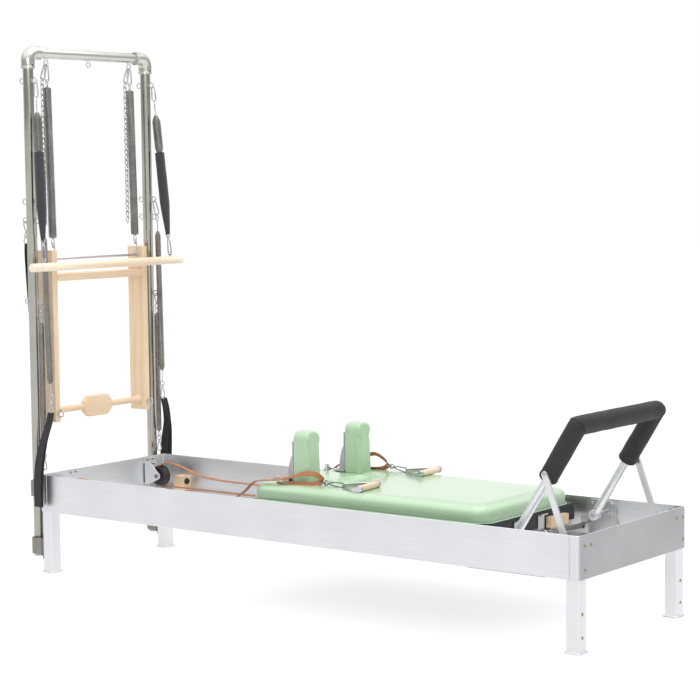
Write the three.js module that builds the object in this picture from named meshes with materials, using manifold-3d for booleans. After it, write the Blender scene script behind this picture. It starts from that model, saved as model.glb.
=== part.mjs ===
// Pilates reformer with a push-through tower.
// Millimetres, +Z up. +X runs towards the footbar end and +Y across the bed.
// Everything is laid out from the centre of the bed's footprint; the last step moves the whole
// group so that its origin is the middle of its base.

import * as THREE from 'three';
import { mergeVertices } from 'three/addons/utils/BufferGeometryUtils.js';
import Module from 'manifold-3d';

const wasm = await Module();
wasm.setup();

// ---------------------------------------------------------------- driving dimensions

const GAP = 0.3; // clearance between pieces that touch

// Bed frame
const HALF_LENGTH = 1274;
const HALF_WIDTH = 373;
const RAIL_TOP = 403;
const RAIL_BOTTOM = 251;
const RAIL_WALL = 6;
const CORNER_RADIUS = 16;
const CORNER_RETURN = 40; // how far an end rail wraps along the side
const TRACK_WIDTH = 45;
const TRACK_HALF_LENGTH = 1205;
const LEG_SIDE = 50.8;
const LEG_WALL = 3;
const LEG_CORNER = 12;
const LEG_TOP = { head: 262, foot: 390 };
const FOOT_HEIGHT = 8;
const FOOT_FLARE = 5;

// Tower
const TOWER_X = -1313;
const TOWER_HALF_SPAN = 343.5;
const PIPE_RADIUS = 21;
const PIPE_WALL = 3.5;
const BEAM_Z = 2110;
const UPRIGHT_BOTTOM = 62;
const ELBOW_RADIUS = 28;
const ELBOW_BEND = 38;
const ELBOW_SOCKET = 26;
const EYE_RADIUS = 11;
const EYE_WIRE = 2.3;
const EYE_REACH = 37; // pipe axis to eye centre
const SIDE_EYE_HEIGHTS = [1997, 1510, 1435, 1106];
const BEAM_EYE_OFFSETS = [-243, 0, 243];

// Push-through frame
const FRAME_X = -1308;
const STILE_DEPTH = 87;
const STILE_THICKNESS = 29.4;
const STILE_INNER = 252.3;
const STILE_BOTTOM = 607;
const STILE_TOP = 1312;
const TOP_RAIL_Z = 1199;
const TOP_RAIL_HEIGHT = 29;
const HANG_ROD_X = -1296;
const HANG_ROD_Z = 1275;
const HANG_ROD_RADIUS = 5;
const PUSH_BAR_Z = 650;
const PUSH_BAR_RADIUS = 14;
const PUSH_BAR_FLARE = 25;
const PADDLE_HALF_WIDTH = 81;
const PADDLE_HALF_HEIGHT = 44;
const PADDLE_CORNER = 24;
const PADDLE_THICKNESS = 24;

// Springs of the tower
const TOP_SPRING_RADIUS = 17;
const TOP_SPRING_TOP = 1974;
const TOP_SPRING_BOTTOM = 1360;
const ROLL_BAR_X = -1215;
const ROLL_BAR_Z = 1248;
const ROLL_BAR_HALF_LENGTH = 445;
const ROLL_BAR_RADIUS = 17.5;
const ROLL_EYE_Y = 374;
const ROLL_SLEEVE_RADIUS = 20.5;
const ROLL_SPRING_RADIUS = 18;
const FRONT_EYE_X = TOWER_X + EYE_REACH + 6;
const ARM_SPRING_X = -1235;
const ARM_SPRING_Y = 333;
const ARM_SPRING_RADIUS = 12.5;
const LEG_SPRING_X = -1271;
const LEG_SPRING_RADIUS = 11;
const FOOT_STRAP_WIDTH = 44;
const FOOT_STRAP_DEPTH = 16; // both plies together

// Pulleys and stops
const PULLEY_X = -1195;
const PULLEY_Y = 267;
const PULLEY_Z = 325;
const PULLEY_RADIUS = 42;
const PULLEY_WIDTH = 30;
const PULLEY_GROOVE = 38;
const AXLE_RADIUS = 6;
const CHEEK_Y = 242;
const STOP_SIZE = { length: 55, width: 52, height: 63.5 };
const HEAD_STOP_X = -1137.5;
const FOOT_STOP_X = 741;

// Carriage
const CARRIAGE_HEAD = -215;
const CARRIAGE_FOOT = 840;
const CARRIAGE_HALF_WIDTH = 318;
const CARRIAGE_FRAME_BOTTOM = 322.5;
const CARRIAGE_FRAME_TOP = 384.5;
const PAD_HEAD = -225;
const PAD_FOOT = 850;
const PAD_HALF_WIDTH = 300;
const PAD_BOTTOM = 385;
const PAD_TOP = 447;
const PAD_CORNER = 60;
const PAD_ROLL = 28; // how far the padded edge rolls over, seen from above
const PAD_ROLL_DEPTH = 20;
const HEADREST_HINGE_X = 60;
const HEADREST_HALF_WIDTH = 117;
const WHEEL_RADIUS = 32;
const WHEEL_WIDTH = 18;
const WHEEL_Y = 340;
const WHEEL_X = [-150, 660];
const FOOT_BUFFER_X = 697;
const SHOULDER_FRONT = -12;
const SHOULDER_DEPTH = 74;
const SHOULDER_HALF_WIDTH = 40;
const SHOULDER_Y = 160;
const SHOULDER_HEIGHT = 198;

// Leather straps
const STRAP_RADIUS = 4;

// Springs of the carriage
const SPRING_BAR_X = 868;
const SPRING_BAR_Z = 300;
const SPRING_BAR_RADIUS = 10;
const CARRIAGE_SPRING_RADIUS = 14;
const CARRIAGE_SPRING_Y = [-180, -60, 60, 180];
const CARRIAGE_SPRING_ANCHOR_X = 190;

// Footbar
const FOOTBAR_PIVOT = { x: 955, z: 355 };
const FOOTBAR_TOP = { x: 1207, z: 757 };
const FOOTBAR_Y = 270;
const FOOTBAR_TUBE_RADIUS = 15;
const FOOTBAR_TUBE_BEND = 40;
const FOOTBAR_PAD_RADIUS = 34;
const alongFootbarLeg = (share) => ({
  x: FOOTBAR_PIVOT.x + share * (FOOTBAR_TOP.x - FOOTBAR_PIVOT.x),
  z: FOOTBAR_PIVOT.z + share * (FOOTBAR_TOP.z - FOOTBAR_PIVOT.z),
});
const FOOTBAR_PAD_START = alongFootbarLeg(0.52);
const STRUT_PIVOT = alongFootbarLeg(0.58);
const STRUT_FOOT = { x: 1199, z: 323 };
const STRUT_Y = 309.8; // between the padded footbar and the foot legs
const STRUT_WIDTH = 22;
const STRUT_THICKNESS = 11;
const PIVOT_PIN_RADIUS = 8;

// ---------------------------------------------------------------- materials

const paint = (color, metalness, roughness) =>
  new THREE.MeshStandardMaterial({ color, metalness, roughness });

const LOOKS = {
  satinAluminium: paint(0xc9ccd1, 0.9, 0.42),
  castAluminium: paint(0xb9bcc2, 0.85, 0.5),
  stainless: paint(0xb9b6ae, 1.0, 0.25),
  chrome: paint(0xd8d8dc, 1.0, 0.1),
  springSteel: paint(0x4c4a46, 0.9, 0.4),
  blackFabric: paint(0x151518, 0.0, 0.9),
  blackLeather: paint(0x1b1b1f, 0.0, 0.6),
  blackSteel: paint(0x17181a, 0.4, 0.5),
  sageVinyl: paint(0x98bd8d, 0.0, 0.4),
  wood: paint(0xe2c7a0, 0.0, 0.55),
  tanLeather: paint(0xb5673a, 0.0, 0.55),
  rubber: paint(0x111111, 0.0, 0.8),
};

// ---------------------------------------------------------------- shape helpers

const reformer = new THREE.Group();

function add(name, geometry, material) {
  const mesh = new THREE.Mesh(geometry, material);
  mesh.name = name;
  reformer.add(mesh);
  return mesh;
}

// Solid from its corner planes.
function block(x0, x1, y0, y1, z0, z1) {
  const geometry = new THREE.BoxGeometry(x1 - x0, y1 - y0, z1 - z0);
  return geometry.translate((x0 + x1) / 2, (y0 + y1) / 2, (z0 + z1) / 2);
}

// Flat outline as a THREE.Shape.
function outline(points, holes = []) {
  const toVectors = (list) => list.map(([u, v]) => new THREE.Vector2(u, v));
  const shape = new THREE.Shape(toVectors(points));
  shape.holes = holes.map((hole) => new THREE.Path(toVectors(hole)));
  return shape;
}

function roundedRectangle(x0, x1, y0, y1, radius) {
  const shape = new THREE.Shape();
  shape.absarc(x1 - radius, y0 + radius, radius, -Math.PI / 2, 0, false);
  shape.absarc(x1 - radius, y1 - radius, radius, 0, Math.PI / 2, false);
  shape.absarc(x0 + radius, y1 - radius, radius, Math.PI / 2, Math.PI, false);
  shape.absarc(x0 + radius, y0 + radius, radius, Math.PI, 1.5 * Math.PI, false);
  return shape;
}

// Outline in the XY plane, extruded up from z0 to z1.
function plate(shape, z0, z1, curveSegments = 5) {
  const options = { depth: z1 - z0, bevelEnabled: false, curveSegments };
  return new THREE.ExtrudeGeometry(shape, options).translate(0, 0, z0);
}

// Outline drawn as (x, z), extruded across the bed from y0 to y1.
function cheek(shape, y0, y1, curveSegments = 5) {
  const options = { depth: y1 - y0, bevelEnabled: false, curveSegments };
  const geometry = new THREE.ExtrudeGeometry(shape, options);
  return geometry.rotateX(Math.PI / 2).translate(0, y1, 0);
}

// Outline drawn as (y, z), extruded along the bed from x0 to x1.
function crossSection(shape, x0, x1, curveSegments = 5) {
  const options = { depth: x1 - x0, bevelEnabled: false, curveSegments };
  const geometry = new THREE.ExtrudeGeometry(shape, options);
  geometry.rotateX(Math.PI / 2).rotateZ(Math.PI / 2);
  return geometry.translate(x0, 0, 0);
}

function ringShape(outer, inner, sides = 16) {
  const circle = (radius) =>
    Array.from({ length: sides }, (_, i) => {
      const angle = (2 * Math.PI * i) / sides;
      return [radius * Math.cos(angle), radius * Math.sin(angle)];
    });
  return outline(circle(outer), inner > 0 ? [circle(inner)] : []);
}

// Body of revolution about the line from a to b; profile is [radius, distance from a].
function turned(profile, a, b, sides = 14) {
  const points = profile.map(([radius, height]) => new THREE.Vector2(radius, height));
  const geometry = new THREE.LatheGeometry(points, sides);
  const direction = new THREE.Vector3().subVectors(b, a).normalize();
  const turn = new THREE.Quaternion().setFromUnitVectors(new THREE.Vector3(0, 1, 0), direction);
  return geometry.applyQuaternion(turn).translate(a.x, a.y, a.z);
}

function rod(a, b, radius, sides = 12) {
  const length = a.distanceTo(b);
  const profile = [[0, 0], [radius, 0], [radius, length], [0, length]];
  return turned(profile, a, b, sides);
}

function alongY(x, z, y0, y1, radius, sides = 16) {
  return rod(vec(x, Math.min(y0, y1), z), vec(x, Math.max(y0, y1), z), radius, sides);
}

// Route whose rings fall exactly on the given points, however far apart they are.
class Polyline extends THREE.Curve {
  constructor(points) {
    super();
    this.points = points;
  }

  getPointAt(u) {
    const place = u * (this.points.length - 1);
    const index = Math.min(Math.floor(place), this.points.length - 2);
    return this.points[index].clone().lerp(this.points[index + 1], place - index);
  }

  getTangentAt(u) {
    const index = Math.round(u * (this.points.length - 1));
    const before = this.points[Math.max(index - 1, 0)];
    const here = this.points[index];
    const after = this.points[Math.min(index + 1, this.points.length - 1)];
    const arriving = new THREE.Vector3().subVectors(here, before).normalize();
    const leaving = new THREE.Vector3().subVectors(after, here).normalize();
    return arriving.add(leaving).normalize();
  }
}

function sweep(shape, points) {
  const options = { steps: points.length - 1, bevelEnabled: false, extrudePath: new Polyline(points) };
  return new THREE.ExtrudeGeometry(shape, options);
}

// Straight runs joined by round bends that start `corner` away from each point.
function bentRoute(points, corner, bendSteps = 5) {
  const route = [points[0]];
  for (let i = 1; i < points.length - 1; i += 1) {
    const before = points[i].clone().lerp(points[i - 1], corner / points[i].distanceTo(points[i - 1]));
    const after = points[i].clone().lerp(points[i + 1], corner / points[i].distanceTo(points[i + 1]));
    route.push(...new THREE.QuadraticBezierCurve3(before, points[i], after).getPoints(bendSteps));
  }
  return [...route, points.at(-1)];
}

function eye(x, y, z, plane) {
  const geometry = new THREE.TorusGeometry(EYE_RADIUS, EYE_WIRE, 4, 9);
  if (plane === 'xz') geometry.rotateX(Math.PI / 2);
  if (plane === 'yz') geometry.rotateY(Math.PI / 2);
  return geometry.translate(x, y, z);
}

function vec(x, y, z) {
  return new THREE.Vector3(x, y, z);
}

function toManifold(geometry) {
  const bare = geometry.index ? geometry.toNonIndexed() : geometry.clone();
  bare.deleteAttribute('normal');
  bare.deleteAttribute('uv');
  const merged = mergeVertices(bare, 1e-3);
  const solid = new wasm.Mesh({
    numProp: 3,
    vertProperties: new Float32Array(merged.attributes.position.array),
    triVerts: new Uint32Array(withoutSlivers(merged.index.array)),
  });
  return new wasm.Manifold(solid);
}

// Triangles whose corners merged into one point are left out.
function withoutSlivers(index) {
  const kept = [];
  for (let i = 0; i < index.length; i += 3) {
    const [a, b, c] = [index[i], index[i + 1], index[i + 2]];
    if (a !== b && b !== c && c !== a) kept.push(a, b, c);
  }
  return kept;
}

function fromManifold(manifold) {
  const mesh = manifold.getMesh();
  const geometry = new THREE.BufferGeometry();
  geometry.setAttribute('position', new THREE.BufferAttribute(mesh.vertProperties, 3));
  geometry.setIndex(new THREE.BufferAttribute(mesh.triVerts, 1));
  geometry.computeVertexNormals();
  return geometry;
}

function join(...geometries) {
  return fromManifold(geometries.map(toManifold).reduce((sum, piece) => sum.add(piece)));
}

function cut(body, ...tools) {
  return fromManifold(
    tools.map(toManifold).reduce((left, tool) => left.subtract(tool), toManifold(body)),
  );
}

// Runs make(side, name) for the near side (-Y) and the far side (+Y).
function bothSides(make) {
  make(-1, 'near');
  make(1, 'far');
}

// Block between two distances from the bed's centre plane, on one side of it.
function sideBlock(side, x0, x1, inner, outer, z0, z1) {
  const [y0, y1] = side > 0 ? [inner, outer] : [-outer, -inner];
  return block(x0, x1, y0, y1, z0, z1);
}

function sideCheek(side, shape, inner, outer, curveSegments) {
  return side > 0
    ? cheek(shape, inner, outer, curveSegments)
    : cheek(shape, -outer, -inner, curveSegments);
}

// ---------------------------------------------------------------- bed frame

function sideRail(side) {
  const end = HALF_LENGTH - CORNER_RETURN - GAP;
  const inner = HALF_WIDTH - RAIL_WALL;
  const web = sideBlock(side, -end, end, inner, HALF_WIDTH, RAIL_BOTTOM, RAIL_TOP);
  const track = sideBlock(
    side, -TRACK_HALF_LENGTH, TRACK_HALF_LENGTH,
    inner - TRACK_WIDTH, inner + 1, RAIL_BOTTOM, RAIL_BOTTOM + RAIL_WALL,
  );
  return join(web, track);
}

function endRail(direction) {
  const shape = new THREE.Shape();
  const start = HALF_LENGTH - CORNER_RETURN;
  const arcX = HALF_LENGTH - CORNER_RADIUS;
  const arcY = HALF_WIDTH - CORNER_RADIUS;
  const innerRadius = CORNER_RADIUS - RAIL_WALL;
  shape.moveTo(start, -HALF_WIDTH);
  shape.absarc(arcX, -arcY, CORNER_RADIUS, -Math.PI / 2, 0, false);
  shape.absarc(arcX, arcY, CORNER_RADIUS, 0, Math.PI / 2, false);
  shape.lineTo(start, HALF_WIDTH);
  shape.lineTo(start, HALF_WIDTH - RAIL_WALL);
  shape.absarc(arcX, arcY, innerRadius, Math.PI / 2, 0, true);
  shape.absarc(arcX, -arcY, innerRadius, 0, -Math.PI / 2, true);
  shape.lineTo(start, -HALF_WIDTH + RAIL_WALL);
  const rail = plate(shape, RAIL_BOTTOM, RAIL_TOP, 5);
  return direction > 0 ? rail : rail.rotateZ(Math.PI);
}

// Square tube standing on a flared foot plate, inside a corner of the bed.
function leg(directionX, side) {
  const top = directionX > 0 ? LEG_TOP.foot : LEG_TOP.head;
  const half = LEG_SIDE / 2;
  const square = (reach, radius) => roundedRectangle(-reach, reach, -reach, reach, radius);
  const tube = cut(
    plate(square(half, LEG_CORNER), FOOT_HEIGHT - 2, top, 2),
    plate(square(half - LEG_WALL, LEG_CORNER - LEG_WALL), 0, top + 5, 2),
  );
  const foot = plate(square(half + FOOT_FLARE, LEG_CORNER), 0, FOOT_HEIGHT, 2);
  const x = directionX * (HALF_LENGTH - RAIL_WALL - GAP - half);
  const y = side * (HALF_WIDTH - RAIL_WALL - GAP - half);
  return join(tube, foot).translate(x, y, 0);
}

// Stop block on a track, carrying a round bumper on the face that the carriage meets.
function stopBlock(side, x, facing) {
  const { length, width, height } = STOP_SIZE;
  const seat = RAIL_BOTTOM + RAIL_WALL + GAP;
  const outer = HALF_WIDTH - RAIL_WALL - GAP;
  const body = sideBlock(
    side, x - length / 2, x + length / 2, outer - width, outer, seat, seat + height,
  );
  const face = x + (facing * length) / 2;
  const middle = side * (outer - width / 2);
  const from = vec(face - facing, middle, seat + height * 0.65);
  const to = vec(face + facing * 10, middle, seat + height * 0.65);
  return join(body, rod(from, to, 11, 12));
}

add('end_rail_head', endRail(-1), LOOKS.satinAluminium);
add('end_rail_foot', endRail(1), LOOKS.satinAluminium);
bothSides((side, name) => {
  add(`side_rail_${name}`, sideRail(side), LOOKS.satinAluminium);
  add(`leg_head_${name}`, leg(-1, side), LOOKS.satinAluminium);
  add(`leg_foot_${name}`, leg(1, side), LOOKS.satinAluminium);
  add(`stop_block_head_${name}`, stopBlock(side, HEAD_STOP_X, 1), LOOKS.wood);
  add(`stop_block_foot_${name}`, stopBlock(side, FOOT_STOP_X, -1), LOOKS.wood);
});

// ---------------------------------------------------------------- tower

function towerBracket(side) {
  const y = side * TOWER_HALF_SPAN;
  const bore = PIPE_RADIUS + GAP;
  const collar = (z0, z1) => plate(ringShape(30, 0), z0, z1).translate(TOWER_X, y, 0);
  const arm = (x1, z0, z1) => block(TOWER_X, x1, y - 14, y + 14, z0, z1);
  const web = [
    [TOWER_X + 22, 41], [TOWER_X + 30, 46], [TOWER_X + 38, 60], [TOWER_X + 38, 373], [TOWER_X + 22, 373],
  ];
  const solid = join(
    collar(309, 373),
    arm(-HALF_LENGTH - GAP, 309, 373),
    collar(71, 138),
    arm(-HALF_LENGTH + RAIL_WALL, 71, 138),
    cheek(outline(web), y - 4, y + 4),
  );
  const hole = plate(ringShape(bore, 0), 30, 400).translate(TOWER_X, y, 0);
  return cut(solid, hole);
}

// Upright pipe with a row of eyebolts on its front and its back.
function upright(side) {
  const y = side * TOWER_HALF_SPAN;
  const top = BEAM_Z - ELBOW_BEND - 4;
  const outside = plate(ringShape(PIPE_RADIUS, 0), UPRIGHT_BOTTOM, top);
  const inside = plate(ringShape(PIPE_RADIUS - PIPE_WALL, 0), UPRIGHT_BOTTOM - 5, top + 5);
  const pieces = [cut(outside, inside).translate(TOWER_X, y, 0)];
  for (const z of SIDE_EYE_HEIGHTS) {
    for (const facing of [-1, 1]) {
      const wall = TOWER_X + facing * (PIPE_RADIUS - PIPE_WALL / 2);
      const shank = TOWER_X + facing * (EYE_REACH - EYE_RADIUS);
      pieces.push(rod(vec(wall, y, z), vec(shank, y, z), 3, 6));
      pieces.push(eye(TOWER_X + facing * EYE_REACH, y, z, 'xz'));
    }
  }
  return join(...pieces);
}

// Cross beam with the two elbow fittings and three eyebolts that point down.
function towerBeam() {
  const start = TOWER_HALF_SPAN - ELBOW_BEND - ELBOW_SOCKET;
  const pieces = [alongY(TOWER_X, BEAM_Z, -start - 20, start + 20, PIPE_RADIUS)];
  const sockets = [];
  bothSides((side) => {
    const y = side * TOWER_HALF_SPAN;
    const mouth = BEAM_Z - ELBOW_BEND - ELBOW_SOCKET;
    const corner = vec(TOWER_X, y, BEAM_Z);
    const route = [vec(TOWER_X, y, mouth), corner, vec(TOWER_X, side * start, BEAM_Z)];
    pieces.push(sweep(ringShape(ELBOW_RADIUS, 0), bentRoute(route, ELBOW_BEND)));
    const socket = plate(ringShape(PIPE_RADIUS + GAP, 0), mouth - 5, BEAM_Z - ELBOW_BEND - 2);
    sockets.push(socket.translate(TOWER_X, y, 0));
  });
  for (const y of BEAM_EYE_OFFSETS) {
    const eyeZ = BEAM_Z - EYE_REACH;
    pieces.push(rod(vec(TOWER_X, y, eyeZ + EYE_RADIUS), vec(TOWER_X, y, BEAM_Z + 26), 3, 6));
    pieces.push(eye(TOWER_X, y, eyeZ, 'yz'));
  }
  return cut(join(...pieces), ...sockets);
}

add('tower_beam', towerBeam(), LOOKS.stainless);
bothSides((side, name) => {
  add(`tower_bracket_${name}`, towerBracket(side), LOOKS.castAluminium);
  add(`tower_upright_${name}`, upright(side), LOOKS.stainless);
});

// ---------------------------------------------------------------- push-through frame

function pushBar() {
  const reach = STILE_INNER - GAP;
  const profile = [
    [0, -reach], [PUSH_BAR_FLARE, -reach], [PUSH_BAR_RADIUS, -reach + 34],
    [PUSH_BAR_RADIUS - 2, 0], [PUSH_BAR_RADIUS, reach - 34], [PUSH_BAR_FLARE, reach], [0, reach],
  ];
  const bar = turned(profile, vec(FRAME_X, 0, PUSH_BAR_Z), vec(FRAME_X, 1, PUSH_BAR_Z), 16);
  const [w, h, c] = [PADDLE_HALF_WIDTH, PADDLE_HALF_HEIGHT, PADDLE_CORNER];
  const octagon = [
    [w, h - c], [w - c, h], [c - w, h], [-w, h - c],
    [-w, c - h], [c - w, -h], [w - c, -h], [w, c - h],
  ];
  const half = PADDLE_THICKNESS / 2;
  const paddle = crossSection(outline(octagon), FRAME_X - half, FRAME_X + half);
  return join(bar, paddle.translate(0, 0, PUSH_BAR_Z));
}

function stile(side) {
  const half = STILE_DEPTH / 2;
  const outer = STILE_INNER + STILE_THICKNESS;
  return sideBlock(
    side, FRAME_X - half, FRAME_X + half, STILE_INNER, outer, STILE_BOTTOM, STILE_TOP,
  );
}

function topRail() {
  const half = STILE_DEPTH / 2;
  const reach = STILE_INNER - GAP;
  const rise = TOP_RAIL_HEIGHT / 2;
  return block(FRAME_X - half, FRAME_X + half, -reach, reach, TOP_RAIL_Z - rise, TOP_RAIL_Z + rise);
}

add('push_bar', pushBar(), LOOKS.wood);
add('frame_top_rail', topRail(), LOOKS.wood);
add(
  'hanging_rod',
  alongY(HANG_ROD_X, HANG_ROD_Z, GAP - STILE_INNER, STILE_INNER - GAP, HANG_ROD_RADIUS),
  LOOKS.chrome,
);
bothSides((side, name) => add(`frame_stile_${name}`, stile(side), LOOKS.wood));

// ---------------------------------------------------------------- tower springs, bar and straps

// Close-coiled spring as one round solid: hook stems, shoulders and the coil's outside.
function springSolid(a, b, radius, stemTop, stemBottom, sides = 10) {
  const length = a.distanceTo(b);
  const shoulder = Math.min(16, radius);
  const profile = [
    [0, 0], [3.5, 0], [3.5, stemTop], [radius * 0.6, stemTop], [radius, stemTop + shoulder],
    [radius, length - stemBottom - shoulder], [radius * 0.6, length - stemBottom],
    [3.5, length - stemBottom], [3.5, length], [0, length],
  ];
  return turned(profile, a, b, sides);
}

// Two flat plies that meet at the bottom, hung from a hook at the top.
function strapLoop(points) {
  const across = FOOT_STRAP_WIDTH / 2;
  const through = FOOT_STRAP_DEPTH / 2;
  const shape = outline([
    [-across, -through], [across, -through], [across, through], [-across, through],
  ]);
  return sweep(shape, new THREE.CatmullRomCurve3(points).getPoints(10));
}

// Centre line of each loop, as [x, distance from the bed's centre plane, z].
const FOOT_STRAP_DRAPE = {
  near: [
    [-1235, 337, 654], [-1235, 352, 605], [-1240, 379, 535],
    [-1248, 394, 450], [-1253, 399, 350], [-1254, 398, 268],
  ],
  far: [
    [-1235, 337, 654], [-1237, 354, 605], [-1250, 375, 535], [-1266, 386, 470],
    [-1275, 390, 400], [-1277, 391, 330], [-1278, 391, 268],
  ],
};

bothSides((side, name) => {
  const topY = side * BEAM_EYE_OFFSETS[2];
  const ringClear = BEAM_Z - EYE_REACH - EYE_RADIUS - EYE_WIRE - 1;
  const rodClear = HANG_ROD_Z + HANG_ROD_RADIUS + 1;
  add(
    `top_spring_${name}`,
    springSolid(
      vec(TOWER_X + 4, topY, ringClear), vec(HANG_ROD_X, topY, rodClear), TOP_SPRING_RADIUS,
      ringClear - TOP_SPRING_TOP, TOP_SPRING_BOTTOM - rodClear,
    ),
    LOOKS.springSteel,
  );

  const hang = vec(FRONT_EYE_X + 4, side * (TOWER_HALF_SPAN + 1), SIDE_EYE_HEIGHTS[0] - EYE_RADIUS - 5);
  const barEye = vec(ROLL_BAR_X, side * ROLL_EYE_Y, ROLL_BAR_Z + ROLL_BAR_RADIUS + 1);
  const down = hang.distanceTo(barEye);
  const sleeve = [
    [0, 0], [3.5, 0], [3.5, 122], [10, 122], [ROLL_SPRING_RADIUS, 138], [ROLL_SPRING_RADIUS, 285],
    [ROLL_SLEEVE_RADIUS, 300], [ROLL_SLEEVE_RADIUS, down - 230], [10, down - 110],
    [3.5, down - 105], [3.5, down], [0, down],
  ];
  add(`roll_spring_${name}`, turned(sleeve, hang, barEye, 10), LOOKS.blackFabric);

  add(
    `arm_spring_${name}`,
    springSolid(
      vec(FRONT_EYE_X + 20, side * 338, SIDE_EYE_HEIGHTS[1] - EYE_RADIUS - 8),
      vec(ARM_SPRING_X, side * ARM_SPRING_Y, 668), ARM_SPRING_RADIUS, 118, 100,
    ),
    LOOKS.springSteel,
  );
  add(
    `leg_spring_${name}`,
    springSolid(
      vec(LEG_SPRING_X + 1, side * TOWER_HALF_SPAN, SIDE_EYE_HEIGHTS[3] - EYE_RADIUS - 4),
      vec(LEG_SPRING_X, side * TOWER_HALF_SPAN, 418), LEG_SPRING_RADIUS, 78, 87,
    ),
    LOOKS.springSteel,
  );
  const drape = FOOT_STRAP_DRAPE[name].map(([x, offset, z]) => vec(x, side * offset, z));
  add(`foot_strap_${name}`, strapLoop(drape), LOOKS.blackFabric);
});
add(
  'roll_bar',
  alongY(ROLL_BAR_X, ROLL_BAR_Z, -ROLL_BAR_HALF_LENGTH, ROLL_BAR_HALF_LENGTH, ROLL_BAR_RADIUS, 20),
  LOOKS.wood,
);

// ---------------------------------------------------------------- strap pulleys

function pulleyBracket(side) {
  const wall = -HALF_LENGTH + RAIL_WALL + GAP;
  const base = sideBlock(
    side, wall, wall + 6, CHEEK_Y - 3, CHEEK_Y + 74, PULLEY_Z - 37, PULLEY_Z + 54,
  );
  const nose = new THREE.Shape();
  nose.moveTo(wall, PULLEY_Z - 37);
  nose.lineTo(wall + 30, PULLEY_Z - 37);
  nose.absarc(PULLEY_X, PULLEY_Z, 15, -Math.PI / 3, Math.PI / 3, false);
  nose.lineTo(wall + 34, PULLEY_Z + 54);
  nose.lineTo(wall, PULLEY_Z + 54);
  const arm = sideCheek(side, nose, CHEEK_Y - 3, CHEEK_Y + 3);
  const boltEnd = PULLEY_Y + PULLEY_WIDTH / 2 + 6;
  const bolt = alongY(PULLEY_X, PULLEY_Z, side * (CHEEK_Y - 8), side * boltEnd, AXLE_RADIUS);
  return join(base, arm, bolt);
}

function pulley(side) {
  const half = PULLEY_WIDTH / 2;
  const bore = AXLE_RADIUS + 0.2;
  const profile = [
    [bore, -half], [PULLEY_RADIUS, -half], [PULLEY_RADIUS, -half + 3], [PULLEY_GROOVE, -half + 4],
    [PULLEY_GROOVE, half - 4], [PULLEY_RADIUS, half - 3], [PULLEY_RADIUS, half],
    [bore, half], [bore, -half],
  ];
  const centre = vec(PULLEY_X, side * PULLEY_Y, PULLEY_Z);
  return turned(profile, centre, vec(PULLEY_X, side * PULLEY_Y + 1, PULLEY_Z), 20);
}

bothSides((side, name) => {
  add(`pulley_bracket_${name}`, pulleyBracket(side), LOOKS.satinAluminium);
  add(`pulley_${name}`, pulley(side), LOOKS.blackSteel);
});

// ---------------------------------------------------------------- carriage

function carriageFrame() {
  const inside = CARRIAGE_HALF_WIDTH - 30;
  const anchor = CARRIAGE_SPRING_ANCHOR_X;
  const slab = (x0, x1, y) => block(x0, x1, -y, y, CARRIAGE_FRAME_BOTTOM, CARRIAGE_FRAME_TOP);
  const [bayBottom, bayTop] = [CARRIAGE_FRAME_BOTTOM - 5, CARRIAGE_FRAME_TOP + 5];
  const bay = (x0, x1) => block(x0, x1, -inside, inside, bayBottom, bayTop);
  const ladder = cut(
    slab(CARRIAGE_HEAD, CARRIAGE_FOOT, CARRIAGE_HALF_WIDTH),
    bay(CARRIAGE_HEAD + 40, anchor - 50), bay(anchor + 10, CARRIAGE_FOOT - 40),
  );
  const pieces = [ladder];
  const hangerY = CARRIAGE_HALF_WIDTH - 3;
  bothSides((side) => {
    for (const x of WHEEL_X) {
      const top = CARRIAGE_FRAME_BOTTOM + 5;
      pieces.push(sideBlock(side, x - 26, x + 26, hangerY - 3, hangerY + 3, 268, top));
      const axleZ = RAIL_BOTTOM + RAIL_WALL + GAP + WHEEL_RADIUS;
      const tip = WHEEL_Y + WHEEL_WIDTH / 2 + 3;
      pieces.push(alongY(x, axleZ, side * (hangerY - 2), side * tip, AXLE_RADIUS));
    }
    const [anchorHead, anchorFoot] = [CARRIAGE_HEAD, CARRIAGE_HEAD + 24];
    pieces.push(sideBlock(side, anchorHead, anchorFoot, PULLEY_Y - 14, PULLEY_Y + 14, 268, 330));
    for (const x of [CARRIAGE_HEAD, FOOT_BUFFER_X]) {
      pieces.push(sideBlock(side, x, x + 6, hangerY - 10, WHEEL_Y + 12, 270, 330));
    }
  });
  pieces.push(block(anchor - 30, anchor - 4, -220, 220, 284, 330));
  return join(...pieces);
}

function wheel(x, side) {
  const half = WHEEL_WIDTH / 2;
  const bore = AXLE_RADIUS + 0.2;
  const profile = [
    [bore, -half], [WHEEL_RADIUS, -half], [WHEEL_RADIUS, half], [bore, half], [bore, -half],
  ];
  const z = RAIL_BOTTOM + RAIL_WALL + GAP + WHEEL_RADIUS;
  return turned(profile, vec(x, side * WHEEL_Y, z), vec(x, side * WHEEL_Y + 1, z), 20);
}

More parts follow.
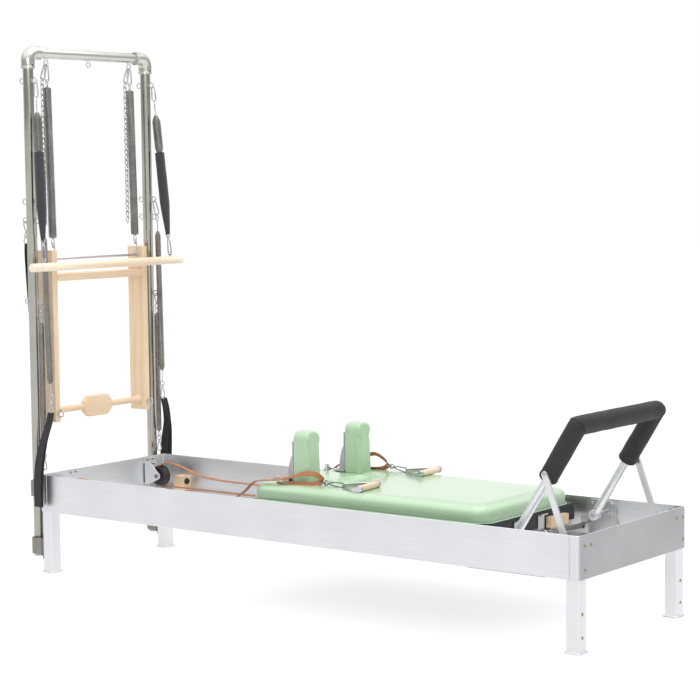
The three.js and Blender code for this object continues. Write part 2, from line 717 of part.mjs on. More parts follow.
// Upholstered bed with rolled top edges and a bay for the headrest at its head end.
function carriagePad() {
  const top = roundedRectangle(PAD_HEAD, PAD_FOOT, -PAD_HALF_WIDTH, PAD_HALF_WIDTH, PAD_CORNER);
  const rolled = new THREE.ExtrudeGeometry(top, {
    depth: PAD_TOP - PAD_BOTTOM,
    curveSegments: 5,
    bevelOffset: -PAD_ROLL,
    bevelSize: PAD_ROLL,
    bevelThickness: PAD_ROLL_DEPTH,
    bevelSegments: 3,
  });
  rolled.translate(0, 0, PAD_BOTTOM - PAD_ROLL_DEPTH);
  const outside = 10;
  const below = block(
    PAD_HEAD - outside, PAD_FOOT + outside, -PAD_HALF_WIDTH - outside, PAD_HALF_WIDTH + outside,
    PAD_BOTTOM - 2 * PAD_ROLL_DEPTH, PAD_BOTTOM,
  );
  const bayWidth = HEADREST_HALF_WIDTH + 1;
  const bay = block(
    PAD_HEAD - outside, HEADREST_HINGE_X + 1, -bayWidth, bayWidth,
    PAD_BOTTOM + 12, PAD_TOP + outside,
  );
  return cut(rolled, below, bay);
}

function headrest() {
  const shape = roundedRectangle(
    PAD_HEAD, HEADREST_HINGE_X, -HEADREST_HALF_WIDTH, HEADREST_HALF_WIDTH, 12,
  );
  return plate(shape, PAD_BOTTOM + 12 + GAP, PAD_TOP + 6);
}

// Upright plate with a curved gusset behind it, standing on a base plate.
function shoulderBracket(side) {
  const back = SHOULDER_FRONT - SHOULDER_DEPTH - GAP;
  const base = PAD_TOP + GAP;
  const y0 = SHOULDER_Y - SHOULDER_HALF_WIDTH;
  const y1 = SHOULDER_Y + SHOULDER_HALF_WIDTH;
  const upright = sideBlock(side, back - 6, back, y0 + 6, y1 - 6, base, base + 160);
  const foot = sideBlock(side, back - 58, back, y0 + 6, y1 - 6, base, base + 6);
  const gusset = new THREE.Shape();
  gusset.moveTo(back - 5, base + 5);
  gusset.lineTo(back - 5, base + 118);
  gusset.quadraticCurveTo(back - 46, base + 100, back - 50, base + 5);
  return join(upright, foot, sideCheek(side, gusset, SHOULDER_Y - 4, SHOULDER_Y + 4, 8));
}

// Upholstered block with rounded shoulders, seen from the foot end.
function shoulderPad(side) {
  const half = SHOULDER_HALF_WIDTH;
  const radius = 30;
  const shape = new THREE.Shape();
  shape.moveTo(-half, 0);
  shape.lineTo(half, 0);
  shape.absarc(half - radius, SHOULDER_HEIGHT - radius, radius, 0, Math.PI / 2, false);
  shape.absarc(radius - half, SHOULDER_HEIGHT - radius, radius, Math.PI / 2, Math.PI, false);
  const solid = crossSection(shape, SHOULDER_FRONT - SHOULDER_DEPTH, SHOULDER_FRONT, 6);
  return solid.translate(0, side * SHOULDER_Y, PAD_TOP + GAP);
}

add('carriage_frame', carriageFrame(), LOOKS.blackSteel);
add('carriage_pad', carriagePad(), LOOKS.sageVinyl);
add('headrest_pad', headrest(), LOOKS.sageVinyl);
bothSides((side, name) => {
  add(`shoulder_bracket_${name}`, shoulderBracket(side), LOOKS.castAluminium);
  add(`shoulder_pad_${name}`, shoulderPad(side), LOOKS.sageVinyl);
  add(`wheel_head_${name}`, wheel(WHEEL_X[0], side), LOOKS.rubber);
  add(`wheel_foot_${name}`, wheel(WHEEL_X[1], side), LOOKS.rubber);
});

// ---------------------------------------------------------------- carriage springs

// Four springs hooked to one cross plate at the carriage end.
function carriageSprings() {
  const plateX = CARRIAGE_SPRING_ANCHOR_X + GAP - 4;
  const barClear = SPRING_BAR_X - SPRING_BAR_RADIUS - GAP;
  const reach = CARRIAGE_SPRING_Y.at(-1) + 20;
  const pieces = [block(plateX, plateX + 6, -reach, reach, 287, 313)];
  for (const y of CARRIAGE_SPRING_Y) {
    const from = vec(plateX + 3, y, SPRING_BAR_Z);
    const to = vec(barClear, y, SPRING_BAR_Z);
    pieces.push(springSolid(from, to, CARRIAGE_SPRING_RADIUS, 20, 40, 8));
  }
  return join(...pieces);
}

add('carriage_springs', carriageSprings(), LOOKS.springSteel);
add('spring_bar', alongY(SPRING_BAR_X, SPRING_BAR_Z, -345, 345, SPRING_BAR_RADIUS), LOOKS.blackSteel);

// ---------------------------------------------------------------- footbar

// Plate on the inside of a side rail: footbar pivot, notch for the spring bar, seat for the strut.
function footPlate(side) {
  const wall = HALF_WIDTH - RAIL_WALL - GAP;
  const bottom = RAIL_BOTTOM + RAIL_WALL + 5;
  const shape = new THREE.Shape();
  shape.moveTo(840, bottom);
  shape.lineTo(1212, bottom);
  shape.lineTo(1212, bottom + 34);
  shape.lineTo(1010, bottom + 34);
  shape.absarc(FOOTBAR_PIVOT.x, FOOTBAR_PIVOT.z, 40, -0.5, Math.PI * 0.5, false);
  shape.lineTo(880, FOOTBAR_PIVOT.z + 40);
  shape.lineTo(840, 330);
  const onWall = sideCheek(side, shape, wall - 6, wall);
  const { x: pinX, z: pinZ } = FOOTBAR_PIVOT;
  const pin = alongY(pinX, pinZ, side * (FOOTBAR_Y - 18), side * (wall - 3), PIVOT_PIN_RADIUS);
  const barSeat = SPRING_BAR_Z - SPRING_BAR_RADIUS - GAP;
  const ledge = sideBlock(side, 846, 896, 325, wall - 3, barSeat - 18, barSeat);
  const barClear = SPRING_BAR_X + SPRING_BAR_RADIUS + GAP;
  const lip = sideBlock(side, barClear, 896, 325, wall - 3, barSeat - 5, barSeat + 16);
  const seatTop = STRUT_FOOT.z - STRUT_WIDTH / 2 - 2 * GAP;
  const seatInner = STRUT_Y - STRUT_THICKNESS / 2 - 4;
  const strutSeat = sideBlock(side, 1168, 1212, seatInner, wall - 3, seatTop - 16, seatTop);
  const rise = sideBlock(side, 1168, 1212, wall - 6, wall - 3, bottom + 20, seatTop);
  return join(onWall, pin, ledge, lip, strutSeat, rise);
}

function footbarRoute(start) {
  return [
    vec(start.x, -FOOTBAR_Y, start.z), vec(FOOTBAR_TOP.x, -FOOTBAR_Y, FOOTBAR_TOP.z),
    vec(FOOTBAR_TOP.x, FOOTBAR_Y, FOOTBAR_TOP.z), vec(start.x, FOOTBAR_Y, start.z),
  ];
}

function footbarTube() {
  const route = bentRoute(footbarRoute(FOOTBAR_PIVOT), FOOTBAR_TUBE_BEND);
  const pieces = [sweep(ringShape(FOOTBAR_TUBE_RADIUS, 0, 12), route)];
  const bores = [];
  bothSides((side) => {
    const { x, z } = FOOTBAR_PIVOT;
    pieces.push(alongY(x, z, side * (FOOTBAR_Y - 15), side * (FOOTBAR_Y + 15), 19, 20));
    bores.push(alongY(x, z, side * (FOOTBAR_Y - 40), side * (FOOTBAR_Y + 40), PIVOT_PIN_RADIUS + 0.4, 20));
    const tip = STRUT_Y + STRUT_THICKNESS / 2 + 3;
    pieces.push(alongY(STRUT_PIVOT.x, STRUT_PIVOT.z, side * (FOOTBAR_Y + 5), side * tip, 5, 12));
  });
  return cut(join(...pieces), ...bores);
}

// Straight padded runs that meet in mitred corners, bored for the tube and for the strut pins.
function footbarPad() {
  const runs = footbarRoute(FOOTBAR_PAD_START);
  const pieces = [];
  for (let i = 1; i < runs.length; i += 1) {
    pieces.push(rod(runs[i - 1], runs[i], FOOTBAR_PAD_RADIUS, 16));
  }
  for (const corner of runs.slice(1, -1)) {
    const ball = new THREE.SphereGeometry(FOOTBAR_PAD_RADIUS, 16, 8);
    pieces.push(ball.translate(corner.x, corner.y, corner.z));
  }
  const tubeRoute = bentRoute(footbarRoute(FOOTBAR_PIVOT), FOOTBAR_TUBE_BEND);
  const holes = [sweep(ringShape(FOOTBAR_TUBE_RADIUS + GAP, 0, 12), tubeRoute)];
  const { x, z } = STRUT_PIVOT;
  bothSides((side) => {
    holes.push(alongY(x, z, side * FOOTBAR_Y, side * (FOOTBAR_Y + 50), 6, 12));
  });
  return cut(join(...pieces), ...holes);
}

function strut(side) {
  const length = Math.hypot(STRUT_FOOT.x - STRUT_PIVOT.x, STRUT_FOOT.z - STRUT_PIVOT.z);
  const half = STRUT_WIDTH / 2;
  const shape = new THREE.Shape();
  shape.absarc(0, 0, half, 0, Math.PI, false);
  shape.absarc(0, -length, half, Math.PI, 2 * Math.PI, false);
  const hole = new THREE.Path();
  hole.absarc(0, 0, 5.4, 0, 2 * Math.PI, true);
  shape.holes.push(hole);
  const lean = Math.atan2(STRUT_FOOT.x - STRUT_PIVOT.x, STRUT_PIVOT.z - STRUT_FOOT.z);
  const flat = STRUT_THICKNESS / 2;
  const bar = sideCheek(side, shape, STRUT_Y - flat, STRUT_Y + flat, 6);
  return bar.rotateY(-lean).translate(STRUT_PIVOT.x, 0, STRUT_PIVOT.z);
}

add('footbar_tube', footbarTube(), LOOKS.satinAluminium);
add('footbar_pad', footbarPad(), LOOKS.blackLeather);
bothSides((side, name) => {
  add(`foot_plate_${name}`, footPlate(side), LOOKS.castAluminium);
  add(`footbar_strut_${name}`, strut(side), LOOKS.satinAluminium);
});

// ---------------------------------------------------------------- leather straps and handles

// From the carriage's head end, round the pulley, back over the pad, and out to the loop's end.
function strapRoute(side, laid) {
  const y = side * PULLEY_Y;
  const wrap = PULLEY_GROOVE + STRAP_RADIUS + 1.2;
  const route = [vec(CARRIAGE_HEAD - GAP, y, PULLEY_Z - wrap)];
  for (let i = 0; i <= 9; i += 1) {
    const angle = -Math.PI / 2 - (i * Math.PI) / 9;
    route.push(vec(PULLEY_X + wrap * Math.cos(angle), y, PULLEY_Z + wrap * Math.sin(angle)));
  }
  const knots = laid.map(([x, offset, z]) => vec(x, side * offset, z));
  return [...route, ...new THREE.CatmullRomCurve3(knots, false, 'centripetal').getPoints(36)];
}

// Knots as [x, distance from the bed's centre plane, z], from the pulley to the end of the loop.
const STRAP_RUN = [
  [-1164, 267, 382], [-1123, 267, 381], [-1077, 267, 372], [-1020, 267, 356], [-962, 267, 341],
  [-886, 267, 333], [-802, 266, 330], [-640, 264, 330], [-480, 262, 336], [-380, 262, 352],
];

const NEAR_STRAP_LAID = [
  ...STRAP_RUN,
  [-310, 264, 380], [-262, 268, 410], [-236, 270, 432], [-212, 270, 449], [-176, 268, 458],
  [-129, 262, 461], [-90, 250, 468], [-45, 240, 481], [-5, 230, 491], [28, 218, 492],
  [48, 206, 481], [54, 196, 466], [42, 208, 455], [12, 230, 452.5], [-40, 236, 452.5],
  [-78, 248, 452.5], [-118, 250, 452.5],
];

const FAR_STRAP_LAID = [
  ...STRAP_RUN,
  [-310, 260, 380], [-262, 254, 410], [-236, 252, 432], [-212, 250, 450], [-176, 250, 460],
  [-129, 250, 468], [-95, 252, 482], [-62, 254, 502], [-31, 255, 507], [0, 256, 495],
  [24, 258, 475], [22, 256, 461], [2, 248, 453], [-25, 240, 452.5], [-70, 232, 452.5],
  [-118, 228, 452.5],
];

function leatherStrap(side, laid) {
  return sweep(ringShape(STRAP_RADIUS, 0, 8), strapRoute(side, laid));
}

// Wooden grip across the open side of a bow bent from flat bar that stands on its edge.
function handle(x, y, turn) {
  const rest = PAD_TOP + 13 + GAP;
  const half = 62;
  const outer = [
    [-112, 9], [-30, half + 9], [12, half + 9], [12, -half - 9], [-30, -half - 9], [-112, -9],
  ];
  const inner = [
    [-107, 7], [-28, half + 5], [-4, half + 5], [-4, -half - 5], [-28, -half - 5], [-107, -7],
  ];
  const bow = cut(plate(outline(outer), -12, 4), plate(outline(inner), -20, 20));
  const grip = rod(vec(0, -half - 7, 0), vec(0, half + 7, 0), 13, 14);
  return join(bow, grip).rotateZ(turn).translate(x, y, rest);
}

add('leather_strap_near', leatherStrap(-1, NEAR_STRAP_LAID), LOOKS.tanLeather);
add('leather_strap_far', leatherStrap(1, FAR_STRAP_LAID), LOOKS.tanLeather);
add('handle_near', handle(266, -190, 0.12), LOOKS.wood);
add('handle_far', handle(238, 242, 0.05), LOOKS.wood);

// ---------------------------------------------------------------- origin at the middle of the base

const bounds = new THREE.Box3().setFromObject(reformer);
reformer.position.x = -(bounds.min.x + bounds.max.x) / 2;

export default reformer;
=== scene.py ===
"""Looks of a pilates reformer with a spring tower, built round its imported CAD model.

Shapes are laid out in millimetres from the centre of the bed's footprint, with +X towards the
footbar end, +Y across the bed and +Z up. Piece.done() turns them into the frame's metres.
"""

from functools import partial
from math import atan2, cos, pi, radians, sin, sqrt, tau

import bmesh
import bpy
from mathutils import Matrix, Vector, noise


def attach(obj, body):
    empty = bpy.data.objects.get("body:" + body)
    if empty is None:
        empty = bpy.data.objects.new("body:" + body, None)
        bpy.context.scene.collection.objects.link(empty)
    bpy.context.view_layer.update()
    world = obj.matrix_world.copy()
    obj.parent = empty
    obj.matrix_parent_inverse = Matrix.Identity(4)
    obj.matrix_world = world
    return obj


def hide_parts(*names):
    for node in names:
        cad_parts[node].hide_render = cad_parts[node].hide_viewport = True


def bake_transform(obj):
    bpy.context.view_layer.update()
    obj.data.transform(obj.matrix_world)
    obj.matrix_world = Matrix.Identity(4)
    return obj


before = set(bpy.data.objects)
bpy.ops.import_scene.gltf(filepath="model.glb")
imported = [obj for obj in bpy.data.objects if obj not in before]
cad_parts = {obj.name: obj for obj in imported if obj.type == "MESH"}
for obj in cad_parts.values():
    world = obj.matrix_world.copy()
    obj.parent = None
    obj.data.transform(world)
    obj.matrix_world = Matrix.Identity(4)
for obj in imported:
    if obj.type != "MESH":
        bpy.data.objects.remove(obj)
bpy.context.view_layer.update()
scene = bpy.context.scene

# ---- driving dimensions

ORIGIN_SHIFT_M = 0.044249  # the frame's origin is this far from the bed's centre, along -X
TO_FRAME = Matrix.Translation((ORIGIN_SHIFT_M, 0, 0)) @ Matrix.Scale(0.001, 4)

HALF_LENGTH = 1274
HALF_WIDTH = 373
RAIL_TOP = 403
RAIL_BOTTOM = 251
RAIL_WALL = 6
RAIL_CORNER = 16
LEG_X = 1242.3
LEG_Y = 341.3
LEG_REACH = 25.4  # half the side of a leg's square section

TOWER_X = -1313
TOWER_Y = 343.5
PIPE_RADIUS = 21
BEAM_Z = 2110
EYE_REACH = 37  # from a pipe's axis to the centre of an eyebolt's ring
FRONT_EYE_X = TOWER_X + EYE_REACH
BACK_EYE_X = TOWER_X - EYE_REACH
SIDE_EYE_HEIGHTS = (1997, 1510, 1435, 1106)
BEAM_EYE_Y = 243

FRAME_X = -1308
FRAME_HALF_DEPTH = 43.5
FRAME_INNER_Y = 252
STILE_Y = 267
STILE_HALF_THICKNESS = 14.7
ROD_X = -1296
ROD_Z = 1275
PUSH_BAR_Z = 650
ROLL_BAR_X = -1215
ROLL_BAR_Z = 1248
ROLL_EYE_Y = 374
LEG_SPRING_X = -1271
ARM_SPRING_FOOT = Vector((-1235, 333, 668))  # of the far one

PULLEY_X = -1195
PULLEY_Y = 267
PULLEY_Z = 325

SHOULDER_Y = 160
WHEEL_XS = (-150, 660)
WHEEL_Y = 340
WHEEL_Z = 289.3
SPRING_ROWS = (-180, -60, 60, 180)  # Y of the four springs under the carriage
SPRING_Z = 300

FOOTBAR_PIVOT = Vector((955, 0, 355))
FOOTBAR_TOP = Vector((1207, 0, 757))
FOOTBAR_Y = 270
FOOTBAR_COVER_RADIUS = 34
COVER_START = 0.52  # share of the footbar's leg that is bare below the cover
STRUT_PIVOT = FOOTBAR_PIVOT.lerp(FOOTBAR_TOP, 0.58)
STRUT_FOOT = Vector((1199, 0, 323))
STRUT_Y = 309.8
STRUT_HALF_THICKNESS = 5.5

SIDES = (("near", -1), ("far", 1))
ENDS = (("head", -1), ("foot", 1))


# ---- curves


def smooth_path(points, steps=6):
    """Points on a soft curve through the given ones."""
    points = [Vector(p) for p in points]
    last = len(points) - 1
    path = []
    for i in range(last):
        a, b, c, d = (points[min(max(i + k, 0), last)] for k in (-1, 0, 1, 2))
        for step in range(steps):
            t = step / steps
            bend = (2 * a - 5 * b + 4 * c - d) * t**2
            twist = (3 * b - a - 3 * c + d) * t**3
            path.append(0.5 * (2 * b + (c - a) * t + bend + twist))
    return path + [points[-1]]


def rounded_corners(points, reach, steps=8):
    """Straight runs with a round bend that starts `reach` away from each inner point."""
    points = [Vector(p) for p in points]
    path = [points[0]]
    for before, corner, after in zip(points, points[1:], points[2:]):
        a = corner + (before - corner).normalized() * reach
        b = corner + (after - corner).normalized() * reach
        for step in range(steps + 1):
            t = step / steps
            path.append(a * (1 - t) ** 2 + corner * 2 * t * (1 - t) + b * t**2)
    return path + [points[-1]]


def turns(steps):
    """Angles that split a full turn into even steps."""
    return [tau * i / steps for i in range(steps)]


def circle(centre, normal, radius, steps=32):
    """Points of a circle about centre, square to normal."""
    normal = Vector(normal).normalized()
    across = normal.orthogonal().normalized()
    up = normal.cross(across)
    return [Vector(centre) + radius * (cos(a) * across + sin(a) * up) for a in turns(steps)]


def helix(start, end, radius, pitch, taper=0.0, steps=12):
    """Points of a coil from start to end; taper is the length over which each end narrows."""
    start, end = Vector(start), Vector(end)
    axis = end - start
    length = axis.length
    axis.normalize()
    across = axis.orthogonal().normalized()
    up = axis.cross(across)
    path = []
    count = int(length / pitch * steps)
    for i in range(count + 1):
        along = length * i / count
        edge = min(along, length - along)
        share = 1.0
        if edge <= taper and taper > 0:
            share = 0.35 + 0.65 * sin(pi / 2 * edge / taper)
        angle = tau * i / steps
        offset = cos(angle) * across + sin(angle) * up
        path.append(start + axis * along + offset * radius * share)
    return path


def arc(u, v, radius, start, sweep, steps):
    """Points of a flat arc about (u, v), with its start and sweep in degrees."""
    angles = [radians(start + sweep * i / steps) for i in range(steps + 1)]
    return [(u + radius * cos(a), v + radius * sin(a)) for a in angles]


def rectangle(u0, u1, v0, v1, radius=0.0, steps=6):
    """Outline of a rectangle with round corners."""
    if radius <= 0:
        return [(u0, v0), (u1, v0), (u1, v1), (u0, v1)]
    outline = []
    for u, v, start in ((u1, v0, -90), (u1, v1, 0), (u0, v1, 90), (u0, v0, 180)):
        centre_u = u - radius if u == u1 else u + radius
        centre_v = v - radius if v == v1 else v + radius
        outline += arc(centre_u, centre_v, radius, start, 90, steps)
    return outline


def square(x, y, reach, radius):
    """Outline of a square about (x, y) with round corners."""
    return rectangle(x - reach, x + reach, y - reach, y + reach, radius)


def point_at_height(top, bottom, z):
    """The point at height z on the line from top to bottom."""
    return top.lerp(bottom, (top.z - z) / (top.z - bottom.z))


def for_each(value, count):
    """The value itself when it is a list, or else a list that repeats it."""
    return value if isinstance(value, list) else [value] * count


# ---- pieces


class Piece:
    """Collects closed shapes in millimetres and becomes one object that rides on a body."""

    def __init__(self, name, material):
        self.name = name
        self.material = material
        self.bm = bmesh.new()

    def flat_ring(self, outline, axis, level):
        """New vertices along an outline that lies square to axis, at a level along it."""
        ring = []
        for u, v in outline:
            spot = {"x": (level, u, v), "y": (u, level, v), "z": (u, v, level)}[axis]
            ring.append(self.bm.verts.new(spot))
        return ring

    def round_ring(self, centre, across, up, radius, sides):
        """New vertices of a circle in the plane of across and up."""
        offsets = [cos(a) * across + sin(a) * up for a in turns(sides)]
        return [self.bm.verts.new(centre + radius * offset) for offset in offsets]

    def skin(self, rings, closed=False):
        """Joins each ring of vertices to the next one; a ring of one vertex is a tip."""
        pairs = list(zip(rings, rings[1:]))
        if closed:
            pairs.append((rings[-1], rings[0]))
        for first, second in pairs:
            if len(first) == 1 and len(second) == 1:
                continue
            count = max(len(first), len(second))
            for i in range(count):
                j = (i + 1) % count
                corners = [first[i % len(first)], first[j % len(first)]]
                corners += [second[j % len(second)], second[i % len(second)]]
                unique = list(dict.fromkeys(corners))
                if len(unique) > 2:
                    self.bm.faces.new(unique)
        if not closed:
            for ring in (rings[0], rings[-1]):
                if len(ring) > 2:
                    self.bm.faces.new(ring)
        return self

    def prism(self, outline, axis, start, end, hole=None):
        """Outline square to axis, from start to end; a hole has as many points as its outline."""
        rings = [self.flat_ring(outline, axis, start), self.flat_ring(outline, axis, end)]
        if hole is None:
            return self.skin(rings)
        rings += [self.flat_ring(hole, axis, end), self.flat_ring(hole, axis, start)]
        return self.skin(rings, closed=True)

    def box(self, x0, x1, y0, y1, z0, z1):
        return self.prism(rectangle(x0, x1, min(y0, y1), max(y0, y1)), "z", z0, z1)

    def turned(self, profile, start, end, sides=40, closed=False):
        """Profile of (radius, distance) pairs, turned about the line from start towards end."""
        start = Vector(start)
        axis = (Vector(end) - start).normalized()
        across = axis.orthogonal().normalized()
        up = axis.cross(across)
        rings = []
        for radius, distance in profile:
            centre = start + axis * distance
            if radius < 1e-6:
                rings.append([self.bm.verts.new(centre)])
            else:
                rings.append(self.round_ring(centre, across, up, radius, sides))
        return self.skin(rings, closed)

    def rod(self, start, end, radius, edge=1.0, sides=32):
        """Solid round bar with softened ends."""
        length = (Vector(end) - Vector(start)).length
        tip = [(0, 0), (radius - edge, 0), (radius - 0.3 * edge, 0.3 * edge), (radius, edge)]
        profile = tip + [(r, length - distance) for r, distance in tip[::-1]]
        return self.turned(profile, start, end, sides)

    def swept(self, path, radius, sides=12, closed=False):
        """Round section carried along a path; radius is one number or one for each point."""
        path = [Vector(p) for p in path]
        radii = for_each(radius, len(path))
        rings, across = [], None
        for i, point in enumerate(path):
            before = path[i - 1] if closed or i > 0 else path[0]
            after = path[(i + 1) % len(path)] if closed or i + 1 < len(path) else path[-1]
            along = (after - before).normalized()
            if across is None:
                across = along.orthogonal()
            across = (across - across.dot(along) * along).normalized()
            rings.append(self.round_ring(point, across, along.cross(across), radii[i], sides))
        return self.skin(rings, closed)

    def ring(self, centre, normal, radius, wire, steps=32):
        return self.swept(circle(centre, normal, radius, steps), wire, 10, closed=True)

    def ribbon(self, path, across, width, thickness):
        """Flat strap along a path; across and width are one value or one for each point."""
        path = [Vector(p) for p in path]
        directions = for_each(across, len(path))
        widths = for_each(width, len(path))
        flat = thickness / 2
        edge = min(0.8 * flat, 1.5)
        rings = []
        for i, point in enumerate(path):
            along = (path[min(i + 1, len(path) - 1)] - path[max(i - 1, 0)]).normalized()
            direction = Vector(directions[i])
            side = (direction - direction.dot(along) * along).normalized()
            up = along.cross(side)
            half = widths[i] / 2
            corner = [(half, edge - flat), (half, flat - edge), (half - edge, flat), (edge - half, flat)]
            section = corner + [(-u, -v) for u, v in corner]
            rings.append([self.bm.verts.new(point + side * u + up * v) for u, v in section])
        return self.skin(rings)

    def mesh(self, name):
        bmesh.ops.recalc_face_normals(self.bm, faces=self.bm.faces)
        self.bm.transform(TO_FRAME)
        mesh = bpy.data.meshes.new(name)
        self.bm.to_mesh(mesh)
        self.bm.free()
        mesh.shade_smooth()
        mesh.set_sharp_from_angle(angle=radians(38))
        return mesh

    def done(self, body=None, bevel=0.0, segments=2, replaces=(), limit=40):
        """Makes the object. Without a body the caller says how it moves."""
        piece = bpy.data.objects.new(self.name, self.mesh(self.name))
        scene.collection.objects.link(piece)
        piece.data.materials.append(self.material)
        if bevel:
            modifier = piece.modifiers.new("edges", "BEVEL")
            modifier.width = bevel / 1000
            modifier.segments = segments
            modifier.limit_method = "ANGLE"
            modifier.angle_limit = radians(limit)
            modifier.harden_normals = True
        if body:
            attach(piece, body)
        if replaces:
            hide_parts(*replaces)
        return piece


def metres(x, y, z):
    """A point in millimetres from the bed's centre, in the frame's metres."""
    return TO_FRAME @ Vector((x, y, z))

# ---- materials


class Surface:
    """A principled material with a few texture nodes, all in object coordinates."""

    def __init__(self, name, color, roughness, metallic=0.0):
        self.material = bpy.data.materials.new(name)
        self.material.use_nodes = True
        self.tree = self.material.node_tree
        self.shader = self.tree.nodes["Principled BSDF"]
        self.shader.inputs["Metallic"].default_value = metallic
        self.base = color
        self.roughness = roughness
        self.place = self.node("ShaderNodeTexCoord").outputs["Object"]
        self.heights = []

    def node(self, kind, values=None, **settings):
        made = self.tree.nodes.new(kind)
        for key, value in settings.items():
            setattr(made, key, value)
        for key, value in (values or {}).items():
            if isinstance(value, bpy.types.NodeSocket):
                self.tree.links.new(value, made.inputs[key])
            else:
                made.inputs[key].default_value = value
        return made

    def set(self, name, value):
        self.shader.inputs[name].default_value = value
        return self

    def stretched(self, stretch):
        values = {"Vector": self.place, "Scale": stretch}
        return self.node("ShaderNodeMapping", values).outputs["Vector"]

    def noise(self, scale, detail=4.0, stretch=(1, 1, 1), distortion=0.0):
        values = {"Vector": self.stretched(stretch), "Scale": scale}
        values.update({"Detail": detail, "Distortion": distortion})
        return self.node("ShaderNodeTexNoise", values).outputs["Fac"]

    def cells(self, scale, stretch=(1, 1, 1), feature="F1"):
        values = {"Vector": self.stretched(stretch), "Scale": scale}
        return self.node("ShaderNodeTexVoronoi", values, feature=feature).outputs["Distance"]

    def waves(self, scale, direction, stretch=(1, 1, 1), distortion=0.0):
        values = {"Vector": self.stretched(stretch), "Scale": scale}
        values.update({"Detail": 1.0, "Distortion": distortion})
        return self.node("ShaderNodeTexWave", values, bands_direction=direction).outputs["Fac"]

    def ramp(self, value, low, high, start=0.3, end=0.7):
        """Turns values from start to end into values from low to high."""
        values = {"Value": value, "From Min": start, "From Max": end, "To Min": low, "To Max": high}
        return self.node("ShaderNodeMapRange", values).outputs["Result"]

    def blend_color(self, share, other):
        """Mixes the base colour, or what it has become, towards another by a 0 to 1 share."""
        mix = self.node("ShaderNodeMix", data_type="RGBA")
        self.tree.links.new(share, mix.inputs["Factor"])
        if isinstance(self.base, bpy.types.NodeSocket):
            self.tree.links.new(self.base, mix.inputs["A"])
        else:
            mix.inputs["A"].default_value = (*self.base, 1)
        mix.inputs["B"].default_value = (*other, 1)
        self.base = mix.outputs["Result"]
        return self

    def bump(self, height, strength, distance):
        self.heights.append((height, strength, distance))
        return self

    def done(self):
        """Links up the colour, the roughness and the stack of bumps."""
        normal = None
        for height, strength, distance in self.heights:
            values = {"Height": height, "Strength": strength, "Distance": distance}
            if normal is not None:
                values["Normal"] = normal
            normal = self.node("ShaderNodeBump", values).outputs["Normal"]
        if normal is not None:
            self.tree.links.new(normal, self.shader.inputs["Normal"])
        for name, value in (("Base Color", self.base), ("Roughness", self.roughness)):
            if isinstance(value, bpy.types.NodeSocket):
                self.tree.links.new(value, self.shader.inputs[name])
            elif name == "Base Color":
                self.shader.inputs[name].default_value = (*value, 1)
            else:
                self.shader.inputs[name].default_value = value
        return self.material


def dimmed(color, share):
    """A colour with each part multiplied by a share."""
    return tuple(share * c for c in color)


def aluminium(name, color, stretch, roughness=(0.34, 0.5), painted_end_shade=None):
    """Satin metal with fine lines along one direction, cloudy handling marks and bright edges, which are
    a painted highlight.

    Faces that look along the bed are darkened towards the given end colour, when one is given: painted
    shade.
    """
    surface = Surface(name, color, roughness[0], metallic=1.0)
    lines = surface.noise(260, 6, stretch)
    clouds = surface.noise(5, 5)
    surface.blend_color(surface.ramp(lines, 0.0, 0.5), dimmed(color, 0.82))
    surface.blend_color(surface.ramp(clouds, 0.0, 0.4), dimmed(color, 0.9))
    shape = surface.node("ShaderNodeNewGeometry").outputs
    if painted_end_shade:
        # Painted shade: faces that look along the bed, found by their normal, are darkened.
        normal = surface.node("ShaderNodeSeparateXYZ", {"Vector": shape["Normal"]}).outputs["X"]
        size = surface.node("ShaderNodeMath", {0: normal}, operation="ABSOLUTE").outputs["Value"]
        surface.blend_color(surface.ramp(size, 0.0, 1.0, 0.5, 0.95), painted_end_shade)
    # Painted highlight: convex edges are lightened towards near white.
    surface.blend_color(surface.ramp(shape["Pointiness"], 0.0, 0.7, 0.53, 0.6), (0.93, 0.94, 0.95))
    surface.roughness = surface.ramp(clouds, *roughness)
    return surface.bump(lines, 0.12, 0.0004).done()


def cast_metal(name, color):
    surface = Surface(name, color, 0.45, metallic=1.0)
    grain = surface.noise(420, 3)
    clouds = surface.noise(22, 4)
    surface.blend_color(surface.ramp(clouds, 0.0, 0.6), dimmed(color, 0.7))
    surface.roughness = surface.ramp(grain, 0.36, 0.58)
    return surface.bump(grain, 0.35, 0.0006).done()


def polished_steel(name, color, roughness, stretch=(1, 1, 1)):
    """Bright metal with faint drawing marks and finger haze."""
    surface = Surface(name, color, roughness, metallic=1.0)
    marks = surface.noise(300, 4, stretch)
    haze = surface.noise(9, 4)
    surface.blend_color(surface.ramp(haze, 0.0, 0.35), dimmed(color, 0.72))
    surface.roughness = surface.ramp(haze, roughness * 0.7, roughness * 1.7)
    return surface.bump(marks, 0.05, 0.0003).done()


def spring_wire():
    surface = Surface("spring_wire", (0.42, 0.41, 0.39), 0.28, metallic=1.0)
    oil = surface.noise(16, 5)
    surface.blend_color(surface.ramp(oil, 0.0, 0.7), (0.24, 0.23, 0.215))
    surface.roughness = surface.ramp(oil, 0.2, 0.36)
    return surface.bump(surface.noise(900, 2), 0.1, 0.0002).done()


